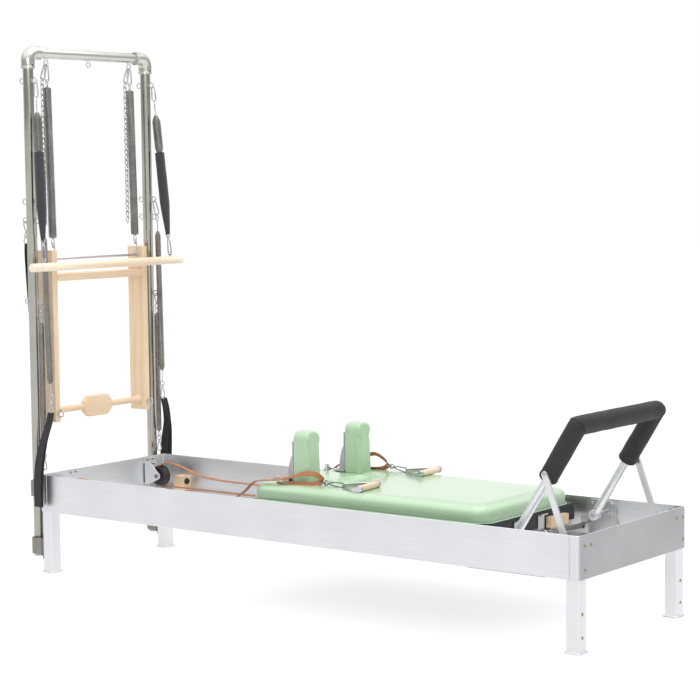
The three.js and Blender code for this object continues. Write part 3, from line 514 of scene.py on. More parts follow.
def beech(name, stretch, color=(0.83, 0.655, 0.465)):
    """Pale lacquered beech; stretch is small along the grain."""
    surface = Surface(name, color, 0.42)
    figure = surface.noise(26, 6, stretch, distortion=0.5)
    fine = surface.noise(190, 5, stretch)
    flecks = surface.cells(330, tuple(s if s < 1 else 1.0 for s in stretch))
    patches = surface.noise(6, 2)
    surface.blend_color(surface.ramp(figure, 0.0, 0.65, 0.42, 0.66), (0.66, 0.46, 0.28))
    surface.blend_color(surface.ramp(fine, 0.0, 0.4, 0.45, 0.75), (0.88, 0.72, 0.54))
    surface.blend_color(surface.ramp(flecks, 0.45, 0.0, 0.05, 0.22), (0.5, 0.31, 0.17))
    surface.blend_color(surface.ramp(patches, 0.0, 0.25), (0.74, 0.53, 0.35))
    surface.roughness = surface.ramp(fine, 0.34, 0.52)
    surface.set("Coat Weight", 0.12).set("Coat Roughness", 0.25)
    return surface.bump(fine, 0.12, 0.0005).bump(flecks, 0.08, 0.0004).done()


def sage_vinyl():
    surface = Surface("sage_vinyl", (0.41, 0.585, 0.385), 0.3)
    grain = surface.cells(900)
    wrinkles = surface.noise(9, 1)
    pores = surface.noise(1500, 2)
    surface.blend_color(surface.ramp(wrinkles, 0.0, 0.15), (0.45, 0.635, 0.425))
    surface.blend_color(surface.ramp(grain, 0.1, 0.0, 0.0, 0.3), (0.34, 0.505, 0.32))
    surface.roughness = surface.ramp(wrinkles, 0.27, 0.34)
    surface.set("Coat Weight", 0.85).set("Coat Roughness", 0.16)
    surface.bump(wrinkles, 0.04, 0.001).bump(grain, 0.02, 0.0003).bump(pores, 0.012, 0.0002)
    return surface.done()


def tan_leather():
    surface = Surface("tan_leather", (0.56, 0.235, 0.085), 0.45)
    hide = surface.noise(60, 5)
    grain = surface.cells(1100)
    surface.blend_color(surface.ramp(hide, 0.0, 0.75), (0.37, 0.13, 0.045))
    wear = surface.node("ShaderNodeNewGeometry").outputs["Pointiness"]
    surface.blend_color(surface.ramp(wear, 0.0, 0.6, 0.52, 0.58), (0.28, 0.1, 0.04))
    surface.roughness = surface.ramp(hide, 0.36, 0.58)
    return surface.bump(grain, 0.2, 0.0003).bump(hide, 0.12, 0.001).done()


def black_leather():
    """Pebbled footbar cover with a greyish bloom on the high spots."""
    surface = Surface("black_leather", (0.022, 0.022, 0.024), 0.6)
    pebbles = surface.cells(420)
    creases = surface.noise(30, 5, distortion=0.6)
    surface.blend_color(surface.ramp(pebbles, 0.5, 0.0, 0.0, 0.4), (0.012, 0.012, 0.013))
    surface.blend_color(surface.ramp(creases, 0.0, 0.4), (0.04, 0.04, 0.043))
    surface.roughness = surface.ramp(creases, 0.52, 0.7)
    surface.set("Specular IOR Level", 0.35)
    return surface.bump(creases, 0.12, 0.0015).bump(pebbles, 0.5, 0.0006).done()


def webbing():
    """Woven black nylon: fine ribs one way and a shallow twill the other."""
    surface = Surface("webbing", (0.011, 0.011, 0.013), 0.78)
    ribs = surface.waves(240, "Z", distortion=0.4)
    twill = surface.waves(300, "DIAGONAL")
    lint = surface.noise(180, 4)
    surface.blend_color(surface.ramp(ribs, 0.0, 0.5), (0.022, 0.022, 0.026))
    surface.blend_color(surface.ramp(lint, 0.0, 0.3, 0.5, 0.8), (0.07, 0.07, 0.08))
    surface.roughness = surface.ramp(lint, 0.7, 0.92)
    surface.set("Sheen Weight", 0.12)
    return surface.bump(ribs, 0.45, 0.0006).bump(twill, 0.25, 0.0004).done()


def sleeve_fabric():
    surface = Surface("sleeve_fabric", (0.018, 0.018, 0.024), 0.7)
    knit = surface.cells(1500)
    folds = surface.noise(24, 3, (1, 1, 0.25), distortion=0.5)
    surface.blend_color(surface.ramp(knit, 0.0, 0.5, 0.1, 0.5), (0.05, 0.05, 0.062))
    surface.roughness = surface.ramp(folds, 0.6, 0.82)
    surface.set("Sheen Weight", 0.25)
    return surface.bump(folds, 0.3, 0.003).bump(knit, 0.35, 0.0004).done()


def moulded(name, color, roughness):
    """Plastic, rubber or black paint with an even orange peel and a little dust."""
    surface = Surface(name, color, roughness)
    peel = surface.noise(480, 3)
    dust = surface.noise(14, 5)
    surface.blend_color(surface.ramp(dust, 0.0, 0.3, 0.45, 0.8), tuple(c + 0.05 for c in color))
    surface.roughness = surface.ramp(dust, roughness * 0.85, min(1.0, roughness * 1.25))
    return surface.bump(peel, 0.12, 0.0004).done()


ALONG, ACROSS, UPRIGHT = (0.02, 1, 1), (1, 0.02, 1), (1, 1, 0.02)  # ways to stretch a metal's lines
RAIL_COLOR = (0.80, 0.815, 0.84)

ALUMINIUM_LONG = aluminium("aluminium_long", RAIL_COLOR, ALONG)
ALUMINIUM_ACROSS = aluminium("aluminium_across", RAIL_COLOR, ACROSS)
# Same metal as the other rails, with painted shade on the faces that look along the bed.
ALUMINIUM_SHADED_ENDS = aluminium("aluminium_shaded_ends", RAIL_COLOR, ACROSS, painted_end_shade=(0.45, 0.46, 0.475))
ALUMINIUM_UPRIGHT = aluminium("aluminium_upright", (0.82, 0.835, 0.86), UPRIGHT)
CAST_METAL = cast_metal("cast_metal", (0.6, 0.61, 0.63))
CLAMP_METAL = cast_metal("clamp_metal", (0.34, 0.325, 0.30))
# Painted shade: the upright pipes take a darker copy of the steel that the beam and elbows take.
PIPE_UPRIGHT_SHADED = polished_steel("pipe_upright_shaded", (0.43, 0.415, 0.38), 0.14, UPRIGHT)
PIPE_ACROSS = polished_steel("pipe_across", (0.68, 0.665, 0.63), 0.17, ACROSS)
CHROME = polished_steel("chrome", (0.60, 0.60, 0.62), 0.1)
BRASS = polished_steel("brass", (0.5, 0.38, 0.2), 0.28)
DARK_STEEL = polished_steel("dark_steel", (0.3, 0.3, 0.31), 0.3)
SPRING_WIRE = spring_wire()
BEECH_UPRIGHT = beech("beech_upright", (1, 1, 0.05))
BEECH_ACROSS = beech("beech_across", (1, 0.05, 1))
BEECH_LONG = beech("beech_long", (0.05, 1, 1))
GRIP_WOOD = beech("grip_wood", (1, 0.05, 1), (0.86, 0.67, 0.53))
ROLL_WOOD = beech("roll_wood", (1, 0.05, 1), (0.93, 0.81, 0.66))
SAGE_VINYL = sage_vinyl()
TAN_LEATHER = tan_leather()
BLACK_LEATHER = black_leather()
WEBBING = webbing()
SLEEVE_FABRIC = sleeve_fabric()
BLACK_PLASTIC = moulded("black_plastic", (0.018, 0.018, 0.02), 0.38)
RUBBER = moulded("rubber", (0.022, 0.022, 0.022), 0.75)
BLACK_PAINT = moulded("black_paint", (0.03, 0.03, 0.033), 0.5)
GREY_PAINT = moulded("grey_paint", (0.1, 0.102, 0.108), 0.5)

# ---- camera

CAMERA_PLACE = (4679.27, -6067.92, 1600.2)
CAMERA_YAW = radians(37.388)
CAMERA_PITCH = radians(4.933)  # downwards
CAMERA_ROLL = -0.011058
LENS = 103.61


def make_camera():
    """Long lens from beyond the near foot corner, at three quarters of the tower's height."""
    level = cos(CAMERA_PITCH)
    ahead = (-sin(CAMERA_YAW) * level, cos(CAMERA_YAW) * level, -sin(CAMERA_PITCH))
    forward = Vector(ahead)
    right = Vector((cos(CAMERA_YAW), sin(CAMERA_YAW), 0))
    up = right.cross(forward)
    tilted_right = right * cos(CAMERA_ROLL) + up * sin(CAMERA_ROLL)
    tilted_up = up * cos(CAMERA_ROLL) - right * sin(CAMERA_ROLL)
    data = bpy.data.cameras.new("camera")
    data.lens = LENS
    data.sensor_width = 36
    data.clip_end = 100
    camera = bpy.data.objects.new("camera", data)
    rotation = Matrix((tilted_right, tilted_up, -forward)).transposed().to_4x4()
    camera.matrix_world = Matrix.Translation(metres(*CAMERA_PLACE)) @ rotation
    scene.collection.objects.link(camera)
    scene.camera = camera


make_camera()

# ---- leather straps (cords)

STRAP_WIDTH = 20
STRAP_THICKNESS = 4
WRAP_RADIUS = 43.2  # strap centre round the pulley
STRAP_ANCHOR_X = -215.3
LOOP_X = -150  # a strap's end loop lies footwards of this

STRAP_RUN = [
    (-1164, 267, 382), (-1123, 267, 381), (-1077, 267, 372), (-1020, 267, 356), (-962, 267, 341),
    (-886, 267, 333), (-802, 266, 330), (-640, 264, 330), (-480, 262, 336), (-380, 262, 352),
]
NEAR_STRAP_LAID = STRAP_RUN + [
    (-310, 264, 380), (-262, 268, 410), (-236, 270, 432), (-212, 270, 449), (-176, 268, 458),
    (-129, 262, 461), (-90, 250, 468), (-45, 240, 481), (-5, 230, 491), (28, 218, 492),
    (48, 206, 481), (54, 196, 466), (42, 208, 455), (12, 230, 452.5), (-40, 236, 452.5),
    (-78, 248, 452.5), (-118, 250, 452.5),
]
FAR_STRAP_LAID = STRAP_RUN + [
    (-310, 260, 380), (-262, 254, 410), (-236, 252, 432), (-212, 250, 450), (-176, 250, 460),
    (-129, 250, 468), (-95, 252, 482), (-62, 254, 502), (-31, 255, 507), (0, 256, 495),
    (24, 258, 475), (22, 256, 461), (2, 248, 453), (-25, 240, 452.5), (-70, 232, 452.5),
    (-118, 228, 452.5),
]


def strap_path(side, laid):
    """From the carriage's head end, under and round the pulley, then back over the pad."""
    y = side * PULLEY_Y
    path = [Vector((STRAP_ANCHOR_X - 40 * i, y, PULLEY_Z - WRAP_RADIUS)) for i in range(24)]
    wrap = arc(PULLEY_X, PULLEY_Z, WRAP_RADIUS, -90, -180, 18)
    path += [Vector((x, y, z)) for x, z in wrap]
    return path + smooth_path([(x, side * offset, z) for x, offset, z in laid], 5)


def strap_across(path, side):
    """Flat across the bed until the loop, where the strap stands on edge as it turns back."""
    loop_start = next(i for i, p in enumerate(path) if i > 60 and p.x > LOOP_X)
    loop_steps = len(path) - 1 - loop_start
    directions = []
    for i in range(len(path)):
        lean = sin(pi * (i - loop_start) / loop_steps) if i >= loop_start else 0.0
        directions.append(Vector((0.25 * lean, 1 - 0.55 * lean, side * -0.9 * lean)).normalized())
    return directions


def strap_rivets(name, tip):
    rivets = Piece(f"leather_strap_{name}_rivets", CHROME)
    profile = [(0, 4.2), (3, 4.0), (4.2, 3), (4.2, 1.5), (0, 1.5)]
    for offset in (6, 24):
        spot = tip + Vector((offset, 0, 0))
        rivets.turned(profile, spot, spot + Vector((0, 0, 1)), 20)
    return rivets.done("carriage")


def leather_strap(name, side, laid):
    path = strap_path(side, laid)
    piece = Piece(f"leather_strap_{name}_hide", TAN_LEATHER)
    piece.ribbon(path, strap_across(path, side), STRAP_WIDTH, STRAP_THICKNESS)
    strap = piece.done(replaces=[f"leather_strap_{name}"])
    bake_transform(strap)
    rivets = strap_rivets(name, path[-1])


leather_strap("near", -1, NEAR_STRAP_LAID)
leather_strap("far", 1, FAR_STRAP_LAID)

# ---- small hardware


def screw_head(piece, spot, normal, radius=5.5, height=2.4):
    """Domed head with a socket sunk in its middle."""
    profile = [(0, 0.35 * height), (0.4 * radius, 0.35 * height), (0.42 * radius, height)]
    profile += [(0.7 * radius, 0.95 * height), (radius, 0.4 * height), (radius, -1.0), (0, -1.0)]
    piece.turned(profile, spot, Vector(spot) + Vector(normal), 24)


def dome_nut(piece, spot, normal, radius=7.5):
    """Washer, hexagon and dome."""
    tip = Vector(spot) + Vector(normal)
    washer = [(0, -1), (radius * 1.35, -1), (radius * 1.35, 1.2), (0, 1.2)]
    hexagon = [(0, 1), (radius, 1), (radius, 6), (radius * 0.9, 6.6), (0, 6.6)]
    dome = [(0, 6), (radius * 0.8, 6.4), (radius * 0.66, 10), (radius * 0.35, 12), (0, 12.6)]
    for profile, sides in ((washer, 28), (hexagon, 6), (dome, 24)):
        piece.turned(profile, spot, tip, sides)


def eyebolt(piece, base, centre, plane_normal, radius=11, wire=2.4):
    """Shank from base to a ring at centre, with a flange nut at the base."""
    base, centre = Vector(base), Vector(centre)
    along = (centre - base).normalized()
    piece.rod(base, centre - along * (radius - 0.5), 3, 0.4, 16)
    piece.turned([(0, 0), (6.2, 0), (6.2, 1.6), (5.2, 2), (5.2, 5.4), (0, 5.4)], base, centre, 6)
    piece.ring(centre, plane_normal, radius, wire)


def loop_path(top, bottom, across, top_half, bottom_half, steps=10):
    """Closed drop-shaped loop from top to bottom, wider or narrower at either end."""
    top, bottom, across = Vector(top), Vector(bottom), Vector(across).normalized()
    down = (bottom - top).normalized()
    ends = ((top + down * top_half, top_half), (bottom - down * bottom_half, -bottom_half))
    path = []
    for centre, half in ends:
        for i in range(steps + 1):
            angle = pi * i / steps
            path.append(centre + half * (cos(angle) * across - sin(angle) * down))
    return path


def carabiner(piece, top, bottom, across=(0, 1, 0), wire=2.7):
    """Drop-shaped clip with a thicker gate on one side."""
    top, bottom, across = Vector(top), Vector(bottom), Vector(across).normalized()
    piece.swept(loop_path(top, bottom, across, 6.5, 9), wire, 10, closed=True)
    gate_top = top.lerp(bottom, 0.3) - across * 7.2
    gate_foot = top.lerp(bottom, 0.68) - across * 8.6
    piece.rod(gate_top, gate_foot, wire * 1.25, 1, 14)


def snap_hook(piece, top, bottom, across=(0, 1, 0), wire=2.6):
    """Swivel eye, turned barrel and a long hook with a sprung gate."""
    top, bottom, across = Vector(top), Vector(bottom), Vector(across).normalized()
    down = (bottom - top).normalized()
    eye_radius = min(9, (bottom - top).length * 0.13)
    piece.ring(top + down * eye_radius, across.cross(down), eye_radius, wire * 0.9)
    barrel = top + down * (2 * eye_radius)
    profile = [(0, 0), (3.2, 0), (5.4, 2), (5.4, 8), (4.4, 10), (3, 14), (0, 14)]
    piece.turned(profile, barrel, barrel + down, 20)
    neck = barrel + down * 12
    piece.swept(loop_path(neck, bottom, across, 5.0, 8.5), wire, 10, closed=True)
    piece.rod(neck + down * 4 + across * 5.5, bottom - down * 9 + across * 7.6, wire * 0.8, 0.6, 12)


def chain(piece, top, length, link=32, wire=2.5):
    """Hanging chain of oval links, each turned a quarter from the last."""
    pitch = link - 4 * wire
    half_link = Vector((0, 0, link / 2 - wire))
    for i in range(int(length / pitch)):
        centre = Vector(top) - Vector((0, 0, pitch * (i + 0.5)))
        across = (1, 0, 0) if i % 2 else (0, 1, 0)
        oval = loop_path(centre + half_link, centre - half_link, across, 6.6, 6.6, 6)
        piece.swept(oval, wire, 8, closed=True)


# ---- bed frame


def bed_rails():
    """Side rails: a tall web, a rolled foot and the track that the wheels run on."""
    for name, side in SIDES:
        rail = Piece(f"bed_rail_{name}", ALUMINIUM_LONG)
        outer, inner = side * HALF_WIDTH, side * (HALF_WIDTH - RAIL_WALL)
        edge, floor = inner - side * 45, RAIL_BOTTOM + RAIL_WALL
        web = [(outer, RAIL_BOTTOM), (outer, RAIL_TOP), (inner, RAIL_TOP), (inner, floor)]
        track = [(edge, floor), (edge, RAIL_BOTTOM)]
        rail.prism(web + track, "x", -HALF_LENGTH + 40.3, HALF_LENGTH - 40.3)
        rail.done("bed", bevel=2.6, segments=4, replaces=[f"side_rail_{name}"])


def end_rail_outline():
    """Plan of the foot-end rail: a plate that wraps round both corners."""
    start = HALF_LENGTH - 40
    centre_x, centre_y = HALF_LENGTH - RAIL_CORNER, HALF_WIDTH - RAIL_CORNER
    outer = [(start, -HALF_WIDTH)]
    inner = [(start, -HALF_WIDTH + RAIL_WALL)]
    for side, turn in ((-1, -90), (1, 0)):
        outer += arc(centre_x, side * centre_y, RAIL_CORNER, turn, 90, 12)
        inner += arc(centre_x, side * centre_y, RAIL_CORNER - RAIL_WALL, turn, 90, 12)
    outer.append((start, HALF_WIDTH))
    inner.append((start, HALF_WIDTH - RAIL_WALL))
    return outer + inner[::-1]


def end_rails():
    outline = end_rail_outline()
    for (name, direction), metal in zip(ENDS, (ALUMINIUM_ACROSS, ALUMINIUM_SHADED_ENDS)):
        rail = Piece(f"bed_end_{name}", metal)
        rail.prism([(direction * x, y) for x, y in outline], "z", RAIL_BOTTOM, RAIL_TOP)
        rail.done("bed", bevel=2.6, segments=4, replaces=[f"end_rail_{name}"], limit=50)


def legs():
    """Square tubes, each on a flared foot; the head pair ends just above the rails' lower edge."""
    for (end, direction), top in zip(ENDS, (262, 390)):
        for name, side in SIDES:
            outline = partial(square, direction * LEG_X, side * LEG_Y)
            leg = Piece(f"bed_leg_{end}_{name}", ALUMINIUM_UPRIGHT)
            leg.prism(outline(LEG_REACH, 5), "z", 7, top, hole=outline(LEG_REACH - 3, 2))
            flare = ((26.5, 8), (29.5, 5.5), (30.4, 3), (30.4, 0))
            leg.skin([leg.flat_ring(outline(reach, 6), "z", z) for reach, z in flare])
            leg.done("bed", bevel=0.5, replaces=[f"leg_{end}_{name}"])


def brass_screws():
    screws = Piece("bed_brass_screws", BRASS)
    for y, z in ((-338, 364), (-295, 363), (-335, 282), (303, 367), (351, 365), (353, 285)):
        screw_head(screws, (HALF_LENGTH, y, z), (1, 0, 0), 6.5, 2.0)
    for side in (-1, 1):
        for z in (134, 54):
            screw_head(screws, (LEG_X + LEG_REACH, side * 343, z), (1, 0, 0), 6.2, 2.0)
    screws.done("bed")


def dome_nuts():
    """Nuts of the tower clamps and the pulley brackets, inside the head end rail."""
    nuts = Piece("bed_dome_nuts", CHROME)
    inner = -HALF_LENGTH + RAIL_WALL
    for y, z in ((-198, 392), (-168, 392), (268, 391), (298, 391)):
        dome_nut(nuts, (inner, y, z), (1, 0, 0), 6)
    for y in (254, 297, -254, -297):
        dome_nut(nuts, (inner + 6.3, y, 370), (1, 0, 0), 5.5)
    nuts.done("bed")


def storage_rail():
    bar = Piece("bed_storage_rail", GREY_PAINT)
    bar.box(811, 1124, -350, -330, 244.5, 250.5)
    bar.done("bed", bevel=0.8)


def stop_blocks():
    """Wooden blocks with rubber bumpers that end the carriage's travel."""
    for end, x, facing in (("head", -1137.5, 1), ("foot", 741, -1)):
        for name, side in SIDES:
            block = Piece(f"stop_{end}_{name}_wood", BEECH_LONG)
            block.box(x - 27.5, x + 27.5, side * 314.7, side * 366.7, 257.3, 320.8)
            block.done("bed", bevel=2, segments=3, replaces=[f"stop_block_{end}_{name}"])
            bumper = Piece(f"stop_{end}_{name}_bumper", RUBBER)
            face = Vector((x + facing * 27.5, side * 340.7 - 5, 298.6))
            profile = [(0, 6.5), (4, 6.5), (5, 9), (9, 9.8), (12, 8), (13, 3), (13, -1), (0, -1)]
            bumper.turned(profile, face, face + Vector((facing, 0, 0)), 32)
            bumper.done("bed")


bed_rails()
end_rails()
legs()
brass_screws()
dome_nuts()
storage_rail()
stop_blocks()

# ---- tower


def tower_pipes():
    for name, side in SIDES:
        y = side * TOWER_Y
        pipe = Piece(f"tower_pipe_{name}", PIPE_UPRIGHT_SHADED)
        profile = [(17.5, 62), (20.4, 62), (PIPE_RADIUS, 62.8), (PIPE_RADIUS, 2068), (17.5, 2068)]
        pipe.turned(profile, (TOWER_X, y, 0), (TOWER_X, y, 1), 48, closed=True)
        pipe.done("bed", replaces=[f"tower_upright_{name}"])
        eyes = Piece(f"tower_eyebolts_{name}", CHROME)
        for z in SIDE_EYE_HEIGHTS:
            for facing in (-1, 1):
                base = (TOWER_X + facing * (PIPE_RADIUS - 1), y, z)
                eyebolt(eyes, base, (TOWER_X + facing * EYE_REACH, y, z), (0, 1, 0))
        eyes.done("bed")


def tower_beam():
    beam = Piece("tower_beam_pipe", PIPE_ACROSS)
    beam.rod((TOWER_X, -300, BEAM_Z), (TOWER_X, 300, BEAM_Z), PIPE_RADIUS, 1, 48)
    beam.done("bed", replaces=["tower_beam"])


def tower_elbows():
    """Fat bends with a raised lip at each mouth."""
    elbows = Piece("tower_elbows", PIPE_ACROSS)
    lip = [(21, 0), (27, 0), (28.3, 1.2), (28.3, 9), (27.6, 10), (21, 10)]
    for side in (-1, 1):
        y = side * TOWER_Y
        corner = [(TOWER_X, y, BEAM_Z - 64), (TOWER_X, y, BEAM_Z), (TOWER_X, side * 279.5, BEAM_Z)]
        path = rounded_corners(corner, 40, 14)
        elbows.swept(path, [27] + [28] * (len(path) - 2) + [27], 40)
        for start, end in ((path[0], path[1]), (path[-1], path[-2])):
            along = (end - start).normalized()
            elbows.turned(lip, start - along * 0.6, end, 40, closed=True)
    elbows.done("bed")


def beam_eyebolts():
    hardware = Piece("tower_beam_eyebolts", CHROME)
    for y in (-BEAM_EYE_Y, 0, BEAM_EYE_Y):
        eyebolt(hardware, (TOWER_X, y, BEAM_Z - 20), (TOWER_X, y, BEAM_Z - EYE_REACH), (1, 0, 0))
        top = Vector((TOWER_X, y, BEAM_Z + 20))
        hardware.rod(top, top + Vector((0, 0, 6)), 3, 0.5, 16)
        hardware.turned([(0, 0), (6, 0), (6, 4), (0, 4)], top, top + Vector((0, 0, 1)), 6)
    hardware.done("bed")


def elbow_set_screws():
    sockets = Piece("tower_set_screws", BLACK_PLASTIC)
    for side in (-1, 1):
        spot = Vector((TOWER_X + 27.2, side * TOWER_Y, BEAM_Z - 52))
        profile = [(0, 0), (4, 0), (4, 1.1), (3.2, 1.3), (0, 0.6)]
        sockets.turned(profile, spot, spot + Vector((1, 0, 0)), 20)
    sockets.done("bed")


def tower_brackets():
    """Two clamps a side, joined by a plate with a curved foot, that hold the tower to the bed."""
    for name, side in SIDES:
        y = side * TOWER_Y
        bracket = Piece(f"tower_clamp_{name}", CLAMP_METAL)
        for z0, z1, end in ((309, 373, -HALF_LENGTH - 0.3), (71, 138, -HALF_LENGTH + 6)):
            profile = [(21.3, z0), (28.6, z0), (30, z0 + 1.6), (30, z1 - 1.6), (28.6, z1), (21.3, z1)]
            bracket.turned(profile, (TOWER_X, y, 0), (TOWER_X, y, 1), 44, closed=True)
            bracket.prism(rectangle(TOWER_X + 24, end, y - 14, y + 14, 3), "z", z0 + 2, z1 - 2)
        foot = [(-1291, 60), (-1289, 50), (-1283, 43), (-1278, 41), (-1274.5, 41)]
        bracket.prism(foot + [(-1274.5, 373), (-1291, 373)], "y", y - 5, y + 5)
        bracket.done("bed", bevel=1.2, replaces=[f"tower_bracket_{name}"])


tower_pipes()
tower_beam()
tower_elbows()
beam_eyebolts()
elbow_set_screws()
tower_brackets()

# ---- push-through frame


def push_stiles():
    for name, side in SIDES:
        stile = Piece(f"push_stile_{name}", BEECH_UPRIGHT)
        x0, x1 = FRAME_X - FRAME_HALF_DEPTH, FRAME_X + FRAME_HALF_DEPTH
        y = side * STILE_Y
        stile.box(x0, x1, y - STILE_HALF_THICKNESS, y + STILE_HALF_THICKNESS, 607, 1312)
        stile.done("push_frame", bevel=2.2, segments=3, replaces=[f"frame_stile_{name}"])
        eyes = Piece(f"push_stile_{name}_eyes", CHROME)
        eyebolt(eyes, (FRAME_X + 42.5, y, 643), (FRAME_X + 60, y, 643), (0, 1, 0), 14, 2.6)
        if name == "far":
            eyebolt(eyes, (FRAME_X - 41, y, 662), (FRAME_X - 46.5, y, 662), (0, 1, 0), 6, 1.6)
        washer = [(0, 0), (8.5, 0), (8.5, 1.4), (5.6, 1.6), (5.6, 3.4), (0, 3.4)]
        face = Vector((ROD_X, y + side * STILE_HALF_THICKNESS, ROD_Z))
        eyes.turned(washer, face, face + Vector((0, side, 0)), 24)
        eyes.done("push_frame")


def push_top_rail():
    rail = Piece("push_top_rail", BEECH_ACROSS)
    x0, x1 = FRAME_X - FRAME_HALF_DEPTH, FRAME_X + FRAME_HALF_DEPTH
    rail.box(x0, x1, -FRAME_INNER_Y, FRAME_INNER_Y, 1184.5, 1213.5)
    rail.done("push_frame", bevel=2.2, segments=3, replaces=["frame_top_rail"])


def push_bar():
    """Round bar that flares where it meets the stiles."""
    bar = Piece("push_bar_wood", BEECH_ACROSS)
    profile = [(0, -FRAME_INNER_Y)]
    for i in range(41):
        y = FRAME_INNER_Y * (2 * i / 40 - 1)
        edge = min(FRAME_INNER_Y - abs(y), 40) / 40
        profile.append((13.2 + 11.5 * (1 - edge) ** 2.2, y))
    profile.append((0, FRAME_INNER_Y))
    bar.turned(profile, (FRAME_X, 0, PUSH_BAR_Z), (FRAME_X, 1, PUSH_BAR_Z), 40)
    bar.done("push_frame", replaces=["push_bar"])


def push_paddle():
    """Eight-sided paddle in the middle of the push bar."""
    paddle = Piece("push_bar_paddle", BEECH_ACROSS)
    half_width, half_height, cut = 81, 44, 24
    octagon = [(half_width, half_height - cut), (half_width - cut, half_height)]
    octagon += [(cut - half_width, half_height), (-half_width, half_height - cut)]
    octagon += [(-y, -z) for y, z in octagon]
    outline = [(y, z + PUSH_BAR_Z) for y, z in octagon]
    paddle.prism(outline, "x", FRAME_X - 13, FRAME_X + 13)
    paddle.done("push_frame", bevel=5, segments=5, limit=30)


def hanging_rod():
    rod = Piece("push_rod", CHROME)
    rod.rod((ROD_X, -FRAME_INNER_Y, ROD_Z), (ROD_X, FRAME_INNER_Y, ROD_Z), 5, 0.6)
    for side in (-1, 1):
        spot = Vector((ROD_X, side * 236, ROD_Z))
        rod.turned([(5, 0), (9, 0), (9, 5), (5, 5)], spot, spot + Vector((0, side, 0)), 28, closed=True)
    rod.done("hanging_rod", replaces=["hanging_rod"])


push_stiles()
push_top_rail()
push_bar()
push_paddle()
hanging_rod()

# ---- tower springs and bar


def coil(name, start, end, radius, wire, pitch, taper):
    piece = Piece(name, SPRING_WIRE)
    return piece.swept(helix(start, end, radius - wire / 2, pitch, taper), wire / 2, 6)


def top_springs():
    """Long springs from the beam to the rod, each beside its safety chain."""
    for name, side in SIDES:
        y = side * BEAM_EYE_Y
        start, end = Vector((-1310, y, 1974)), Vector((-1297, y, 1360))
        spring = coil(f"top_coil_{name}", start, end, 17, 2.9, 3.1, 5)
        spring = spring.done(replaces=[f"top_spring_{name}"])
        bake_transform(spring)
        clips = Piece(f"top_clips_{name}", CHROME)
        carabiner(clips, (TOWER_X + 2, y, 2066), (TOWER_X + 3, y, 1997), (1, 0.5, 0), 2.8)
        clips.ring((-1310, y, 1990), (0.6, 1, 0), 15, 2.2)
        clips.done("top_springs")
        hook = Piece(f"top_hook_{name}", CHROME)
        hook.ring((-1296.5, y, 1344), (0.5, 1, 0), 16.5, 2.2)
        stem = [
            (-1292, 1325), (-1296, 1321), (-1300, 1326), (-1300.5, 1334), (-1296, 1339),
            (-1290, 1333), (-1288.3, 1318), (-1288.3, 1282), (-1289, 1270), (-1296, 1266.8),
            (-1303, 1270), (-1304, 1277),
        ]
        hook.swept(smooth_path([(x, y, z) for x, z in stem], 6), 2.2, 10)
        hook.done("hanging_rod")
        links = Piece(f"tower_chain_{name}", CHROME)
        carabiner(links, (TOWER_X - 3, y, 2068), (TOWER_X - 24, y, 2004), (0.4, 1, 0), 2.6)
        chain(links, (TOWER_X - 25, y, 2010), 600)
        links.done("top_springs")


def roll_sleeve(name, side, top, foot):
    """Fabric tube that narrows towards its foot."""
    sleeve = Piece(f"roll_sleeve_{name}", SLEEVE_FABRIC)
    length = (foot - top).length
    profile = [(18.3, 0), (20.2, 0.5), (20.6, 3), (20, 6)]
    for i in range(1, 24):
        share = i / 24
        taper = 10.8 * (max(0, share - 0.62) / 0.38) ** 1.1
        fold = 0.5 * noise.noise(Vector((share * 9, side, 0)))
        profile.append((20 + 0.8 * sin(pi * share) - taper + fold, 6 + (length - 10) * share))
    profile += [(9.2, length - 2), (8.4, length), (5, length), (5, length - 8)]
    return sleeve.turned(profile, top, foot, 40, closed=True).done()


def roll_springs():
    """Sleeved springs that hang from the uprights and carry the roll bar."""
    for name, side in SIDES:
        top = Vector((FRONT_EYE_X + 6, side * (TOWER_Y + 1), 1987))
        eye = Vector((ROLL_BAR_X, side * ROLL_EYE_Y, ROLL_BAR_Z + 20))
        at = partial(point_at_height, top, eye)
        clip = Piece(f"roll_clip_{name}", CHROME)
        carabiner(clip, at(1991), at(1930), (1, 0.3, 0))
        clip.ring(at(1911), (0.7, 0.7, 0), 17.5, 2.1)
        clip.swept(smooth_path([at(1896), at(1880), at(1866)], 4), 1.8, 10)
        clip.done("roll_springs")
        spring = coil(f"roll_coil_{name}", at(1869), at(1700), 18.2, 2.7, 2.9, 34)
        spring = spring.done(replaces=[f"roll_spring_{name}"])
        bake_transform(spring)
        sleeve = roll_sleeve(name, side, at(1710), at(1357))
        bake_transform(sleeve)
        hook = Piece(f"roll_hook_{name}", CHROME)
        snap_hook(hook, at(1366), at(1272), (1, 0.2, 0), 2.8)
        hook.done("roll_bar")


def roll_bar():
    bar = Piece("roll_bar_wood", ROLL_WOOD)
    bar.rod((ROLL_BAR_X, -445, ROLL_BAR_Z), (ROLL_BAR_X, 445, ROLL_BAR_Z), 17.5, 5, 48)
    bar.done("roll_bar", replaces=["roll_bar"])
    fittings = Piece("roll_bar_fittings", CHROME)
    for side in (-1, 1):
        y = side * ROLL_EYE_Y
        centre = (ROLL_BAR_X, y, ROLL_BAR_Z + 27)
        eyebolt(fittings, (ROLL_BAR_X, y, ROLL_BAR_Z + 15), centre, (0, 1, 0), 8, 2.2)
        spot = Vector((ROLL_BAR_X, side * 398, ROLL_BAR_Z))
        band = [(16.9, 0), (17.75, 0), (17.75, 1.6), (16.9, 1.6)]
        fittings.turned(band, spot, spot + Vector((0, side, 0)), 48, closed=True)
    fittings.done("roll_bar")


